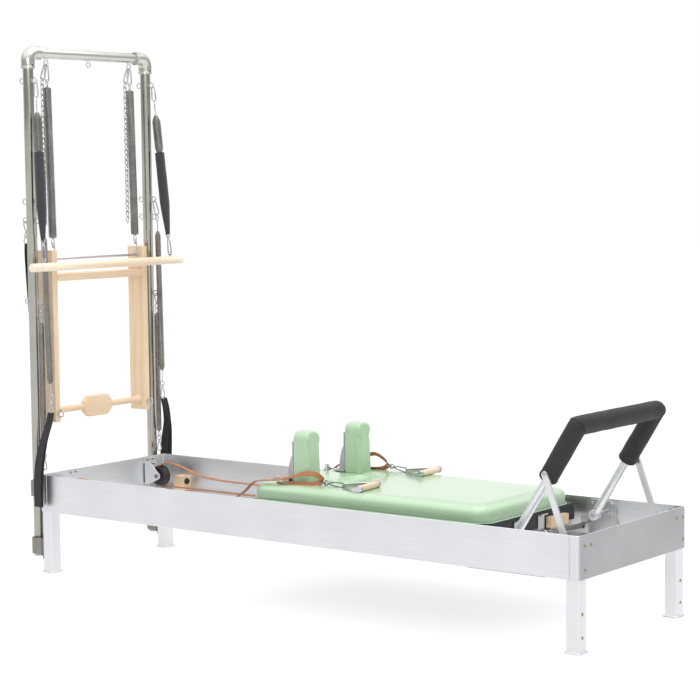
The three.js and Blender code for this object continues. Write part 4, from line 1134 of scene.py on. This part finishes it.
def arm_springs():
    """Springs on the uprights' front eyebolts, with a foot strap hooked under each."""
    for name, side in SIDES:
        body = f"arm_spring_{name}"
        top = Vector((FRONT_EYE_X + 22, side * 338, 1490))
        foot = Vector((ARM_SPRING_FOOT.x, side * ARM_SPRING_FOOT.y, ARM_SPRING_FOOT.z))
        at = partial(point_at_height, top, foot)
        clip = Piece(f"arm_clip_{name}", CHROME)
        carabiner(clip, (FRONT_EYE_X + 4, side * TOWER_Y, 1503), at(1446), (1, 0.4, 0))
        clip.ring(at(1430), (0.5, 1, 0), 13.5, 2.2)
        for heights in ((1418, 1400, 1371), (774, 745, 722)):
            clip.swept([at(z) for z in heights], 1.9, 10)
        snap_hook(clip, at(726), at(650), (1, 0.3, 0))
        clip.done(body)
        spring = coil(f"arm_coil_{name}", at(1373), at(772), 12.6, 2.5, 2.7, 22)
        spring.done(body, replaces=[body])
        foot_strap(name, side, body)


FOOT_STRAP_DRAPE = {
    "near": [
        (-1235, 337, 654), (-1235, 352, 605), (-1240, 379, 535), (-1248, 394, 450),
        (-1253, 399, 350), (-1254, 398, 268),
    ],
    "far": [
        (-1235, 337, 654), (-1237, 354, 605), (-1250, 375, 535), (-1266, 386, 470),
        (-1275, 390, 400), (-1277, 391, 330), (-1278, 391, 268),
    ],
}
FOOT_STRAP_END = 276  # height at which the webbing turns back up


def foot_strap(name, side, body):
    """Two plies of webbing, sewn together under the hook, that part into a loop lower down."""
    middle = smooth_path([(x, side * y, z) for x, y, z in FOOT_STRAP_DRAPE[name]], 8)
    middle = [p for p in middle if p.z > FOOT_STRAP_END]
    count = len(middle)
    width = [34 + 6 * min(1, i / (0.55 * count)) for i in range(count)]
    spread = [1.9 + 9 * max(0, sin(pi * (i / count - 0.3) / 0.8)) for i in range(count)]
    outward = Vector((0.35, side, 0))
    down = [p + outward * s for p, s in zip(middle, spread)]
    up = [p - outward * s for p, s in zip(middle, spread)]
    fold = []
    for degrees in (30, 60, 90, 120, 150):
        angle = radians(degrees)
        drop = Vector((0, 0, -spread[-1] * sin(angle)))
        fold.append(middle[-1] + outward * spread[-1] * cos(angle) + drop)
    strap = Piece(f"foot_strap_{name}_webbing", WEBBING)
    strap.ribbon(down + fold + up[::-1], (1, 0, 0), width + [40] * len(fold) + width[::-1], 2.6)
    strap.done(body, replaces=[f"foot_strap_{name}"])
    stitches = Piece(f"foot_strap_{name}_stitching", SLEEVE_FABRIC)
    for share in (0.035, 0.085, 0.135):
        centre = middle[int(share * count) + 1] + Vector((0, side * 4.2, 0))
        half = Vector((15, 0, 0))
        stitches.rod(centre - half, centre + half, 0.8, 0.2, 8)
    stitches.done(body)


def leg_springs():
    """Thin springs that hang below the arm springs' eyebolts."""
    for name, side in SIDES:
        body = f"leg_spring_{name}"
        y = side * TOWER_Y
        clip = Piece(f"leg_clip_{name}", CHROME)
        snap_hook(clip, (LEG_SPRING_X + 1, y, 1042), (LEG_SPRING_X - 1, y, 1103), (1, 0.3, 0), 2.4)
        for z in (1030, 493):
            clip.ring((LEG_SPRING_X, y, z), (0.5, 1, 0), 12, 2.2)
        snap_hook(clip, (LEG_SPRING_X, y, 486), (LEG_SPRING_X, y, 419), (1, 0.3, 0), 2.6)
        clip.done(body)
        top, bottom = (LEG_SPRING_X, y, 1019), (LEG_SPRING_X, y, 505)
        coil(f"leg_coil_{name}", top, bottom, 11.2, 2.4, 2.6, 9).done(body, replaces=[body])


def back_strap():
    """Spare hand loop that hangs behind the near upright and leans in towards the tower."""
    x, y = BACK_EYE_X + 6, -TOWER_Y
    top, foot, sideways = 1342, 1003, 24
    clip = Piece("back_clip", CHROME)
    snap_hook(clip, (x, y, 1364), (BACK_EYE_X, y, 1431), (0.4, 1, 0), 2.4)
    clip.swept(loop_path((x, y, 1372), (x, y, 1338), (0.3, 1, 0), 9, 13), 2.2, 10, closed=True)
    clip.done("bed")
    strap = Piece("back_strap_webbing", WEBBING)
    loop = [(0, top), (4, 1290), (5, 1180), (5, 1060), (3, 1012), (-1, foot)]
    loop += [(-6, 1012), (-8, 1060), (-8, 1180), (-6, 1290), (-1, 1340)]
    path = [(x + u, y + sideways * (top - z) / (top - foot), z) for u, z in loop]
    strap.ribbon(smooth_path(path, 6), (0.15, 1, 0), 22, 2.6)
    strap.done("bed")


top_springs()
roll_springs()
roll_bar()
arm_springs()
leg_springs()
back_strap()

# ---- strap pulleys

PULLEY_WALL_X = -HALF_LENGTH + RAIL_WALL + 0.3  # where the brackets meet the head end rail


def pulley_bracket(name, side):
    """Angle bracket: a base on the end rail and a round-nosed arm beside the pulley."""
    bracket = Piece(f"pulley_mount_{name}", ALUMINIUM_UPRIGHT)
    y0, y1 = sorted((side * 239, side * 316))
    bracket.prism(rectangle(y0, y1, 288, 379, 4), "x", PULLEY_WALL_X, PULLEY_WALL_X + 6)
    arm = [(PULLEY_WALL_X, 288), (PULLEY_WALL_X + 30, 288)]
    arm += arc(PULLEY_X + 4, PULLEY_Z, 15, -62, 124, 12)
    arm += [(PULLEY_WALL_X + 34, 379), (PULLEY_WALL_X, 379)]
    bracket.prism(arm, "y", side * 239, side * 245)
    bracket.done("bed", bevel=1, replaces=[f"pulley_bracket_{name}"])


def pulley_bolt(name, side):
    bolt = Piece(f"pulley_bolt_{name}", DARK_STEEL)
    bolt.rod((PULLEY_X, side * 240, PULLEY_Z), (PULLEY_X, side * 287, PULLEY_Z), 5.9, 0.6)
    head = [(0, 0.6), (3.4, 0.8), (3.6, 4.5), (7.6, 4.5), (9.2, 3), (9.2, -1), (0, -1)]
    bolt.turned(head, (PULLEY_X, side * 239, PULLEY_Z), (PULLEY_X, side * 200, PULLEY_Z), 32)
    bolt.done("bed")


def pulley_wheel(name, side):
    """Grooved wheel with six ribs on each face."""
    wheel = Piece(f"pulley_{name}_wheel", BLACK_PLASTIC)
    rim = [(6.2, 15), (14, 15), (15, 12.5), (31, 12.5), (33, 15), (41.2, 15), (42, 14.2), (42, 12.4)]
    rim += [(38.4, 10.6), (38, 9)]
    profile = [(radius, -across) for radius, across in rim] + rim[::-1]
    centre = Vector((PULLEY_X, side * PULLEY_Y, PULLEY_Z))
    wheel.turned(profile, centre, centre + Vector((0, 1, 0)), 56, closed=True)
    for angle in turns(6):
        direction = Vector((cos(angle), 0, sin(angle)))
        for lift in (Vector((0, -13, 0)), Vector((0, 13, 0))):
            wheel.rod(centre + direction * 15 + lift, centre + direction * 32 + lift, 1.8, 0.4, 10)
    wheel.done(f"pulley_{name}", replaces=[f"pulley_{name}"])


for strap_side in SIDES:
    pulley_bracket(*strap_side)
    pulley_bolt(*strap_side)
    pulley_wheel(*strap_side)

# ---- carriage

CARRIAGE_HEAD_X = -215
CARRIAGE_FOOT_X = 840
CARRIAGE_RAIL_Z = (322.5, 366.2)
FOOT_BUFFER_X = 697  # plates that meet the foot stop blocks


def carriage_deck():
    deck = Piece("carriage_deck", BLACK_PAINT)
    deck.prism(rectangle(CARRIAGE_HEAD_X, CARRIAGE_FOOT_X, -318, 318, 12), "z", 366, 384.4)
    deck.done("carriage", bevel=1.5, replaces=["carriage_frame"])


def carriage_rails():
    """Ladder frame under the deck, with wheel hangers, strap anchors and buffer plates."""
    rails = Piece("carriage_rails", BLACK_PAINT)
    for side in (-1, 1):
        rails.box(CARRIAGE_HEAD_X, CARRIAGE_FOOT_X, side * 288, side * 318, *CARRIAGE_RAIL_Z)
        for x in WHEEL_XS:
            half = [(26, 330), (26, 300), (12, 272)]
            hanger = [(x - u, z) for u, z in half] + [(x + u, z) for u, z in half[::-1]]
            rails.prism(hanger, "y", side * 312, side * 318)
        rails.box(CARRIAGE_HEAD_X, -191, side * 253, side * 281, 268, 330)
        for x in (CARRIAGE_HEAD_X, FOOT_BUFFER_X):
            rails.box(x, x + 6, side * 305, side * 352, 270, 330)
    for x0, x1 in ((CARRIAGE_HEAD_X, -175), (140, 200), (800, CARRIAGE_FOOT_X)):
        rails.box(x0, x1, -290, 290, *CARRIAGE_RAIL_Z)
    rails.box(160, 186, -220, 220, 284, 330)
    rails.done("carriage", bevel=1.2)


def carriage_foot_block():
    block = Piece("carriage_foot_block", BEECH_ACROSS)
    block.box(CARRIAGE_FOOT_X + 0.2, 866, 118, 236, 319, 358)
    block.done("carriage", bevel=2, segments=3)


def carriage_fittings():
    """Slim upright by the headrest and two lipped plates on the foot end."""
    metal = Piece("carriage_fittings", ALUMINIUM_UPRIGHT)
    metal.prism(rectangle(-161, -149, 94, 106, 2), "z", 380, 476)
    for side in (-1, 1):
        metal.box(841, 845, side * 60, side * 100, 318, 372)
        metal.prism([(841, 366), (861, 372), (861, 376), (841, 371)], "y", side * 60, side * 100)
    metal.done("carriage", bevel=1)


def axle_bolts():
    bolts = Piece("carriage_axle_bolts", CHROME)
    for side in (-1, 1):
        for x in WHEEL_XS:
            bolts.rod((x, side * 309, WHEEL_Z), (x, side * 352, WHEEL_Z), 5.9, 0.6)
            dome_nut(bolts, (x, side * 312, WHEEL_Z), (0, -side, 0), 7)
        screw_head(bolts, (-203, side * 253, 300), (0, -side, 0), 6, 3)
    bolts.done("carriage")


def wheels():
    half = [(6.2, 9), (11, 9), (12, 6.5), (25, 6.5), (26.5, 9), (30.6, 9), (32, 7.4)]
    profile = [(radius, -across) for radius, across in half] + half[::-1]
    for (end, _), x in zip(ENDS, WHEEL_XS):
        for name, side in SIDES:
            centre = Vector((x, side * WHEEL_Y, WHEEL_Z))
            wheel = Piece(f"wheel_{end}_{name}_tyre", BLACK_PLASTIC)
            wheel.turned(profile, centre, centre + Vector((0, 1, 0)), 48, closed=True)
            wheel.done(f"wheel_{end}_{name}", replaces=[f"wheel_{end}_{name}"])


def carriage_coils():
    for i, y in enumerate(SPRING_ROWS):
        start, end = Vector((212, y, SPRING_Z)), Vector((818, y, SPRING_Z))
        replaced = ["carriage_springs"] if i == 0 else []
        spring = coil(f"carriage_coil_{i + 1}", start, end, 14, 2.9, 3.3, 10).done(replaces=replaced)
        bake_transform(spring)


def spring_hooks():
    hooks = Piece("carriage_spring_hooks", CHROME)
    stem = [(814, 0), (834, 0), (850, 6), (857, 15), (869, 18), (882, 10), (884, 0)]
    for y in SPRING_ROWS:
        hooks.swept(smooth_path([(x, y, SPRING_Z + lift) for x, lift in stem], 6), 3, 10)
    hooks.done("bed")


def spring_plate():
    plate = Piece("carriage_spring_plate", DARK_STEEL)
    plate.prism(rectangle(-205, 205, SPRING_Z - 14, SPRING_Z + 14, 4), "x", 186.5, 190.5)
    for y in SPRING_ROWS:
        plate.ring((200, y, SPRING_Z), (0, 1, 0), 9, 2.4)
    plate.done("carriage", bevel=0.8)


def spring_bar():
    bar = Piece("spring_bar_steel", DARK_STEEL)
    bar.rod((868, -345, SPRING_Z), (868, 345, SPRING_Z), 10, 1.5)
    bar.done("bed", replaces=["spring_bar"])


carriage_deck()
carriage_rails()
carriage_foot_block()
carriage_fittings()
axle_bolts()
wheels()
carriage_coils()
spring_hooks()
spring_plate()
spring_bar()

# ---- upholstery

CLOTH_FRAMES = 20


def applied(piece):
    """Turns an object's modifiers into plain, smooth mesh."""
    graph = bpy.context.evaluated_depsgraph_get()
    mesh = bpy.data.meshes.new_from_object(piece.evaluated_get(graph))
    piece.modifiers.clear()
    piece.data = mesh
    mesh.shade_smooth()


def remeshed(piece, voxel):
    """Gives an object's mesh even faces about one voxel wide."""
    modifier = piece.modifiers.new("even", "REMESH")
    modifier.mode = "VOXEL"
    modifier.voxel_size = voxel
    applied(piece)


def smoothed(piece, iterations):
    """Relaxes an evenly meshed object and makes its mesh finer."""
    soften = piece.modifiers.new("soften", "SMOOTH")
    soften.iterations = iterations
    soften.factor = 0.5
    applied(piece)
    finer = piece.modifiers.new("finer", "SUBSURF")
    finer.levels = 1
    finer.render_levels = 1


def inflated(piece, held, cap):
    """Lets foam press the cover out for a moment; held(point) keeps the stapled parts still."""
    mesh = piece.data
    rest = [v.co.copy() for v in mesh.vertices]
    group = piece.vertex_groups.new(name="held")
    group.add([i for i, co in enumerate(rest) if held(co)], 1.0, "REPLACE")
    cloth = piece.modifiers.new("cloth", "CLOTH")
    cloth.settings.quality = 4
    cloth.settings.use_pressure = True
    cloth.settings.uniform_pressure_force = 4
    cloth.settings.effector_weights.gravity = 0
    cloth.settings.vertex_group_mass = "held"
    cloth.point_cache.frame_start = 1
    cloth.point_cache.frame_end = CLOTH_FRAMES
    for step in range(1, CLOTH_FRAMES + 1):
        scene.frame_set(step)
    graph = bpy.context.evaluated_depsgraph_get()
    swollen = [v.co.copy() for v in piece.evaluated_get(graph).data.vertices]
    piece.modifiers.clear()
    scene.frame_set(1)
    for vertex, before, after in zip(mesh.vertices, rest, swollen):
        move = after - before
        vertex.co = before + move * min(1.0, cap / max(move.length, 1e-9))
    piece.vertex_groups.clear()


def upholstered(piece, voxel, held, cap, softening=4):
    """Turns a sharp-cornered block into a soft, evenly meshed pad."""
    remeshed(piece, voxel)
    inflated(piece, held, cap)
    smoothed(piece, softening)


def rolled_edge(reach, rise, steps=8):
    """(inset, lift) pairs of an edge that rolls over by a quarter turn."""
    angles = [radians(90 * i / steps) for i in range(steps + 1)]
    return [(reach * (1 - cos(a)), rise * sin(a)) for a in angles]


def stacked(piece, axis, layers):
    """Skins a stack of (outline, level) layers into one closed block."""
    piece.skin([piece.flat_ring(outline, axis, level) for outline, level in layers])


def pad_outline(inset):
    """Plan of the pad: a round-cornered rectangle with the headrest's bay cut into its head end."""
    corners = rectangle(-225 + inset, 850 - inset, -300 + inset, 300 - inset, 72 - min(inset, 44), 10)
    count = len(corners) // 4
    reach = 118 + inset
    bay = [(-225 + inset, reach), (60 + inset, reach), (60 + inset, -reach), (-225 + inset, -reach)]
    return corners[: 3 * count] + bay + corners[3 * count :]


def carriage_pad():
    """Bed pad with its edges rolled over and a bay at the head for the headrest."""
    cover = Piece("carriage_pad_cover", SAGE_VINYL)
    layers = [(pad_outline(6), 386), (pad_outline(3), 390)]
    layers += [(pad_outline(2 + inset), 420 + lift) for inset, lift in rolled_edge(40, 25.5)]
    stacked(cover, "z", layers)
    pad = cover.done(replaces=["carriage_pad"])
    upholstered(pad, 0.006, lambda co: co.z < 0.392, 0.003, softening=12)
    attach(pad, "carriage")
    piping = Piece("carriage_pad_piping", SAGE_VINYL)
    edge = [Vector((x, y, 389)) for x, y in rectangle(-223, 848, -298, 298, 70, 10)]
    piping.swept(edge, 2.4, 8, closed=True)
    piping.done("carriage")


def headrest_outline(inset, radius):
    return rectangle(-222 + inset, 57 - inset, -114 + inset, 114 - inset, radius)


def headrest():
    cover = Piece("headrest_cover", SAGE_VINYL)
    layers = [(headrest_outline(0, 12), 398)]
    layers += [(headrest_outline(inset, 14), 430 + lift) for inset, lift in rolled_edge(18, 17.5)]
    stacked(cover, "z", layers)
    pad = cover.done(replaces=["headrest_pad"])
    upholstered(pad, 0.005, lambda co: co.z < 0.402, 0.005)
    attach(pad, "headrest")


def shoulder_outline(centre, inset):
    """Front view of a shoulder rest: straight sides and a broad round top."""
    half, top, radius = 40 - inset, 645 - inset, 31
    outline = [(-half, 441), (half, 441)]
    outline += arc(half - radius, top - radius, radius, 0, 90, 8)
    outline += arc(radius - half, top - radius, radius, 90, 90, 8)
    return [(centre + u, v) for u, v in outline]


def shoulder_cover(name, centre):
    """Padded block whose front is a little hollow from side to side."""
    cover = Piece(f"shoulder_cover_{name}", SAGE_VINYL)
    edge = [(shoulder_outline(centre, 10.5 - lift), depth) for depth, lift in rolled_edge(10, 10)]
    layers = [(outline, depth - 85.8) for outline, depth in edge]
    layers += [(outline, -12.5 - depth) for outline, depth in edge[::-1]]
    stacked(cover, "x", layers)
    pad = cover.done(replaces=[f"shoulder_pad_{name}"])
    upholstered(pad, 0.004, lambda co: co.z < 0.452 or co.x < -0.037, 0.005, softening=3)
    for vertex in pad.data.vertices:
        across = min(1.0, abs(vertex.co.y - centre / 1000) / 0.04)
        forward = max(0.0, min(1.0, (vertex.co.x + 0.03) / 0.05))
        vertex.co.x += forward * (0.009 * across**2 - 0.003)
    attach(pad, "carriage")


def shoulder_plate(name, centre):
    """Angle bracket with a quarter-round gusset in its corner."""
    plate = Piece(f"shoulder_plate_{name}", CAST_METAL)
    plate.box(-92.3, -86.4, centre - 34, centre + 34, 447.3, 603)
    plate.box(-144, -86.4, centre - 34, centre + 34, 447.3, 453)
    gusset = [(-91, 450), (-91, 566)]
    for step in range(13):
        angle = radians(90 * step / 12)
        gusset.append((-91 - 46 * sin(angle), 452 + 112 * cos(angle)))
    plate.prism(gusset, "y", centre - 4, centre + 4)
    plate.done("carriage", bevel=1.2, replaces=[f"shoulder_bracket_{name}"])


def shoulder_bolts(name, centre):
    bolts = Piece(f"shoulder_bolts_{name}", CHROME)
    for y in (centre - 22, centre + 22):
        screw_head(bolts, (-130, y, 453), (0, 0, 1), 6, 4)
        screw_head(bolts, (-92.3, y, 585), (-1, 0, 0), 5, 3)
        screw_head(bolts, (-92.3, y, 500), (-1, 0, 0), 5, 3)
    bolts.done("carriage")


def shoulder_lock(name, side, centre):
    """Post behind the rest, its side pin and the domed nut on its top."""
    post = Piece(f"shoulder_lock_{name}", BLACK_PLASTIC)
    post.prism(rectangle(-206, -176, centre - 16, centre + 16, 5), "z", 384.6, 449)
    post.rod((-100, centre + side * 40, 455), (-100, centre + side * 28, 455), 6.5, 1.5, 24)
    post.done("carriage", bevel=2)
    knob = Piece(f"shoulder_lock_bolt_{name}", CHROME)
    dome_nut(knob, (-191, centre, 449), (0, 0, 1), 6)
    knob.done("carriage")


def shoulder_rests():
    for name, side in SIDES:
        centre = side * SHOULDER_Y
        shoulder_cover(name, centre)
        shoulder_plate(name, centre)
        shoulder_bolts(name, centre)
        shoulder_lock(name, side, centre)


carriage_pad()
headrest()
shoulder_rests()

# ---- handles on the pad


def handle_grip(name, place):
    grip = Piece(f"handle_{name}_grip", GRIP_WOOD)
    profile = [(0, 0), (11, 0), (11.8, 6), (12.8, 61), (11.8, 116), (11, 122), (0, 122)]
    grip.turned(profile, place @ Vector((0, -61, 0)), place @ Vector((0, 61, 0)), 36)
    grip.done("carriage", replaces=[f"handle_{name}"])


def handle_bow(name, place):
    """Bent flat bar with a cap at either end of the grip."""
    bow = Piece(f"handle_{name}_bow", CHROME)
    outline = [(6, 70), (-28, 68), (-66, 45), (-104, 9), (-109, 0)]
    outline += [(x, -y) for x, y in outline[-2::-1]]
    path = smooth_path([place @ Vector((x, y, -4)) for x, y in outline], 6)
    bow.ribbon(path, (0, 0, 1), 16, 3)
    cap = [(0, 0), (12.6, 0), (13, 1.5), (13, 9), (11.5, 11), (0, 11.5)]
    for end in (-1, 1):
        bow.turned(cap, place @ Vector((0, end * 60.5, 0)), place @ Vector((0, end * 80, 0)), 32)
    bow.done("carriage")


def handle(name, centre, turn, ring):
    """Wooden grip in a bow of flat bar that a snap hook ties to the ring of its leather strap."""
    place = Matrix.Translation(centre) @ Matrix.Rotation(turn, 4, "Z")
    handle_grip(name, place)
    handle_bow(name, place)
    apex = place @ Vector((-108, 0, -3))
    reach = (apex - ring).normalized()
    clip = Piece(f"handle_{name}_clip", DARK_STEEL)
    clip.ring(ring, (0.35, 0.2, 1), 13, 2.2)
    snap_hook(clip, ring + reach * 10, apex + reach * 4, (0, 0.3, 1), 2.3)
    clip.done("carriage")


handle("near", Vector((266, -190, 460.3)), 0.12, Vector((52, -190, 457)))
handle("far", Vector((238, 242, 460.3)), 0.05, Vector((30, 258, 465)))

# ---- footbar


def leg_point(share, side):
    """A point on one leg of the footbar, from its hinge at 0 to its corner at 1."""
    point = FOOTBAR_PIVOT.lerp(FOOTBAR_TOP, share)
    return Vector((point.x, side * FOOTBAR_Y, point.z))


def footbar_route(start):
    """Corners of the footbar's line, which starts and ends at a share of its legs."""
    return [leg_point(start, -1), leg_point(1, -1), leg_point(1, 1), leg_point(start, 1)]


def footbar_tube():
    tube = Piece("footbar_bar", ALUMINIUM_UPRIGHT)
    tube.swept(rounded_corners(footbar_route(0), 40, 10), 15, 32)
    hub = [(8.4, -15), (17.8, -15), (19, -13.8), (19, 13.8), (17.8, 15), (8.4, 15)]
    for side in (-1, 1):
        centre = leg_point(0, side)
        tube.turned(hub, centre, centre + Vector((0, 1, 0)), 40, closed=True)
    tube.done("footbar", replaces=["footbar_tube"])


def footbar_cover():
    """Stuffed leather over three lengths of the tube, slightly uneven."""
    cover = Piece("footbar_cover", BLACK_LEATHER)
    runs = footbar_route(COVER_START)
    for start, end in zip(runs, runs[1:]):
        cover.rod(start, end, FOOTBAR_COVER_RADIUS, 5, 40)
    ball = arc(0, 0, FOOTBAR_COVER_RADIUS, -90, 180, 16)
    for corner in runs[1:3]:
        cover.turned(ball, corner, corner + Vector((0, 0, 1)), 40)
    pad = cover.done(replaces=["footbar_pad"])
    remeshed(pad, 0.004)
    for vertex in pad.data.vertices:
        vertex.co += vertex.normal * 0.0012 * noise.noise(vertex.co * 16)
    smoothed(pad, 3)
    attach(pad, "footbar")


def mitre_seam(corner, toward_leg, toward_middle):
    """Closed line where two lengths of the cover meet at a corner."""
    inward = (toward_leg + toward_middle).normalized()
    across = toward_leg.cross(toward_middle).normalized()
    seam = []
    for angle in turns(48):
        stretch = sqrt(2) if cos(angle) > 0 else 1.0
        offset = stretch * cos(angle) * inward + sin(angle) * across
        seam.append(corner + FOOTBAR_COVER_RADIUS * offset)
    return seam


def footbar_seams():
    seams = Piece("footbar_cover_seams", BLACK_LEATHER)
    for side in (-1, 1):
        corner = leg_point(1, side)
        toward_leg = (leg_point(0, side) - corner).normalized()
        seams.swept(mitre_seam(corner, toward_leg, Vector((0, -side, 0))), 1.3, 8, closed=True)
        seams.ring(leg_point(0.545, side), toward_leg, FOOTBAR_COVER_RADIUS - 0.2, 1.3)
    seams.done("footbar")


def strut_pins():
    pins = Piece("footbar_strut_pins", CHROME)
    head = [(0, 2.8), (5, 2.6), (8, 1.3), (8, 0), (0, 0)]
    for side in (-1, 1):
        start = Vector((STRUT_PIVOT.x, side * (FOOTBAR_Y + 12), STRUT_PIVOT.z))
        face = Vector((STRUT_PIVOT.x, side * (STRUT_Y + 5.7), STRUT_PIVOT.z))
        pins.rod(start, face, 4.9, 0.5)
        pins.turned(head, face, face + Vector((0, side, 0)), 28)
    pins.done("footbar")


def strut_outline():
    """Side view of a strut: a flat bar with round ends, from its pin down to its foot."""
    top, foot = STRUT_PIVOT, STRUT_FOOT
    lean = atan2(foot.x - top.x, top.z - foot.z)
    right, down = cos(lean), sin(lean)
    upright = arc(0, 0, 11, 0, 180, 10) + arc(0, -(foot - top).length, 11, 180, 180, 10)
    return [(top.x + u * right - v * down, top.z + u * down + v * right) for u, v in upright]


def struts():
    for name, side in SIDES:
        piece = Piece(f"footbar_strut_{name}_bar", ALUMINIUM_UPRIGHT)
        inner, outer = side * (STRUT_Y - STRUT_HALF_THICKNESS), side * (STRUT_Y + STRUT_HALF_THICKNESS)
        piece.prism(strut_outline(), "y", inner, outer)
        piece.done(f"footbar_strut_{name}", bevel=1.4, segments=3, replaces=[f"footbar_strut_{name}"])


def foot_plate(name, side):
    """Hinge plate on a rail, with the spring bar's notch and the seat of the strut."""
    plate = Piece(f"foot_hinge_{name}", CAST_METAL)
    outline = [(842, 262), (1212, 262), (1212, 296), (1010, 296)]
    outline += arc(FOOTBAR_PIVOT.x, FOOTBAR_PIVOT.z, 40, -28, 118, 12)
    outline += [(880, 395), (868, 385), (868, 330), (842, 330)]
    plate.prism(outline, "y", side * 360.7, side * 366.7)
    pin = [(0, 0), (8, 0), (8, 108), (14, 109), (16, 112), (0, 112)]
    hinge = Vector((FOOTBAR_PIVOT.x, side * 252, FOOTBAR_PIVOT.z))
    plate.turned(pin, hinge, hinge + Vector((0, side, 0)), 32)
    notch = [(846, 271), (896, 271), (896, 305), (878.6, 305), (878.6, 289.4), (846, 289.4)]
    plate.prism(notch, "y", side * 325, side * 363)
    plate.prism(rectangle(1168, 1212, 296, 311), "y", side * 301, side * 363)
    plate.done("bed", bevel=1.2, replaces=[f"foot_plate_{name}"])


def foot_plate_bolts(name, side):
    bolts = Piece(f"foot_hinge_{name}_bolts", CHROME)
    for x, z in ((890, 382), (972, 381), (972, 342), (1060, 279), (1190, 279)):
        screw_head(bolts, (x, side * 360.7, z), (0, -side, 0), 5.5, 3)
    bolts.done("bed")


footbar_tube()
footbar_cover()
footbar_seams()
strut_pins()
struts()
for plate_side in SIDES:
    foot_plate(*plate_side)
    foot_plate_bolts(*plate_side)

# ---- floor and light

# Direction, the nearness to it at which a band starts and ends, the strength before and after.
OVERHEAD_SKY = ((0, 0, 1), 0.1, 0.75, 0.5, 1.35)
BRIGHT_BANDS = (
    ((-0.607, 0.794, 0), 0.955, 0.98, 0.0, 1.05),
    ((0.9, -0.5, 0), 0.9, 0.985, 0.0, 1.1),
    ((-1, -0.3, 0), 0.9, 0.985, 0.0, 1.0),
)
DIM_BAND = ((-0.78, -0.62, 0), 0.9, 0.995, 1.0, 0.68)


def glowing(name, color, roughness, strength):
    """A surface that gives off even white light and has no mirror shine."""
    surface = Surface(name, color, roughness)
    surface.set("Specular IOR Level", 0.0)
    surface.set("Emission Color", (1, 1, 1, 1)).set("Emission Strength", strength)
    return surface


def staged(name, surface):
    """Names the object made last, gives it its surface and keeps it out of the part."""
    made = bpy.context.object
    made.name = name
    made.data.materials.append(surface.done())
    return made


def make_floor():
    """Pale floor that glows a little, so that shadows on it stay faint."""
    surface = glowing("studio_floor", (0.24, 0.24, 0.24), 0.7, 0.78)
    surface.roughness = surface.ramp(surface.noise(3, 3), 0.6, 0.8)
    bpy.ops.mesh.primitive_plane_add(size=80, location=(0, 0, 0))
    staged("studio_floor", surface)


def make_backdrop():
    """Plain white drum round the studio. Nothing mirrors it, so metal still shows the sky."""
    surface = glowing("studio_backdrop", (0, 0, 0), 1.0, 1.0)
    bpy.ops.mesh.primitive_cylinder_add(radius=38, depth=80, vertices=64, location=(0, 0, 39))
    drum = staged("studio_backdrop", surface)
    drum.visible_diffuse = False
    drum.visible_glossy = False
    drum.visible_transmission = False
    drum.visible_shadow = False


def sky_band(tree, place, direction, start, end, low, high):
    """Brightness that climbs from low to high as the view nears a direction."""
    dot = tree.nodes.new("ShaderNodeVectorMath")
    dot.operation = "DOT_PRODUCT"
    tree.links.new(place, dot.inputs[0])
    dot.inputs[1].default_value = Vector(direction).normalized()
    ramp = tree.nodes.new("ShaderNodeMapRange")
    ramp.interpolation_type = "SMOOTHSTEP"
    for name, value in (("From Min", start), ("From Max", end), ("To Min", low), ("To Max", high)):
        ramp.inputs[name].default_value = value
    tree.links.new(dot.outputs["Value"], ramp.inputs["Value"])
    return ramp.outputs["Result"]


def joined(tree, operation, first, second):
    """Two shader values put together by one maths operation."""
    made = tree.nodes.new("ShaderNodeMath")
    made.operation = operation
    tree.links.new(first, made.inputs[0])
    tree.links.new(second, made.inputs[1])
    return made.outputs["Value"]


def make_world():
    """Studio sky: bright overhead and in three bands, so that metal has something to show."""
    world = bpy.data.worlds.new("studio")
    scene.world = world
    world.use_nodes = True
    tree = world.node_tree
    place = tree.nodes.new("ShaderNodeTexCoord").outputs["Generated"]
    light = sky_band(tree, place, *OVERHEAD_SKY)
    for band in BRIGHT_BANDS:
        light = joined(tree, "MAXIMUM", light, sky_band(tree, place, *band))
    light = joined(tree, "MULTIPLY", light, sky_band(tree, place, *DIM_BAND))
    sky = tree.nodes["Background"]
    tree.links.new(light, sky.inputs["Strength"])
    sky.inputs["Color"].default_value = (1, 1, 1, 1)


def area_light(name, place, target, size, power):
    data = bpy.data.lights.new(name, "AREA")
    data.shape = "RECTANGLE"
    data.size, data.size_y = size
    data.energy = power
    light = bpy.data.objects.new(name, data)
    light.location = place
    light.rotation_euler = (Vector(target) - Vector(place)).to_track_quat("-Z", "Y").to_euler()
    scene.collection.objects.link(light)


scene.view_settings.view_transform = "Standard"
make_floor()
make_backdrop()
make_world()
area_light("overhead", (0.3, 0.3, 4.6), (0, 0, 0.4), (4, 3), 60)
area_light("window", (2.5, -4.5, 3.2), (0.2, 0, 0.5), (2.5, 2), 35)
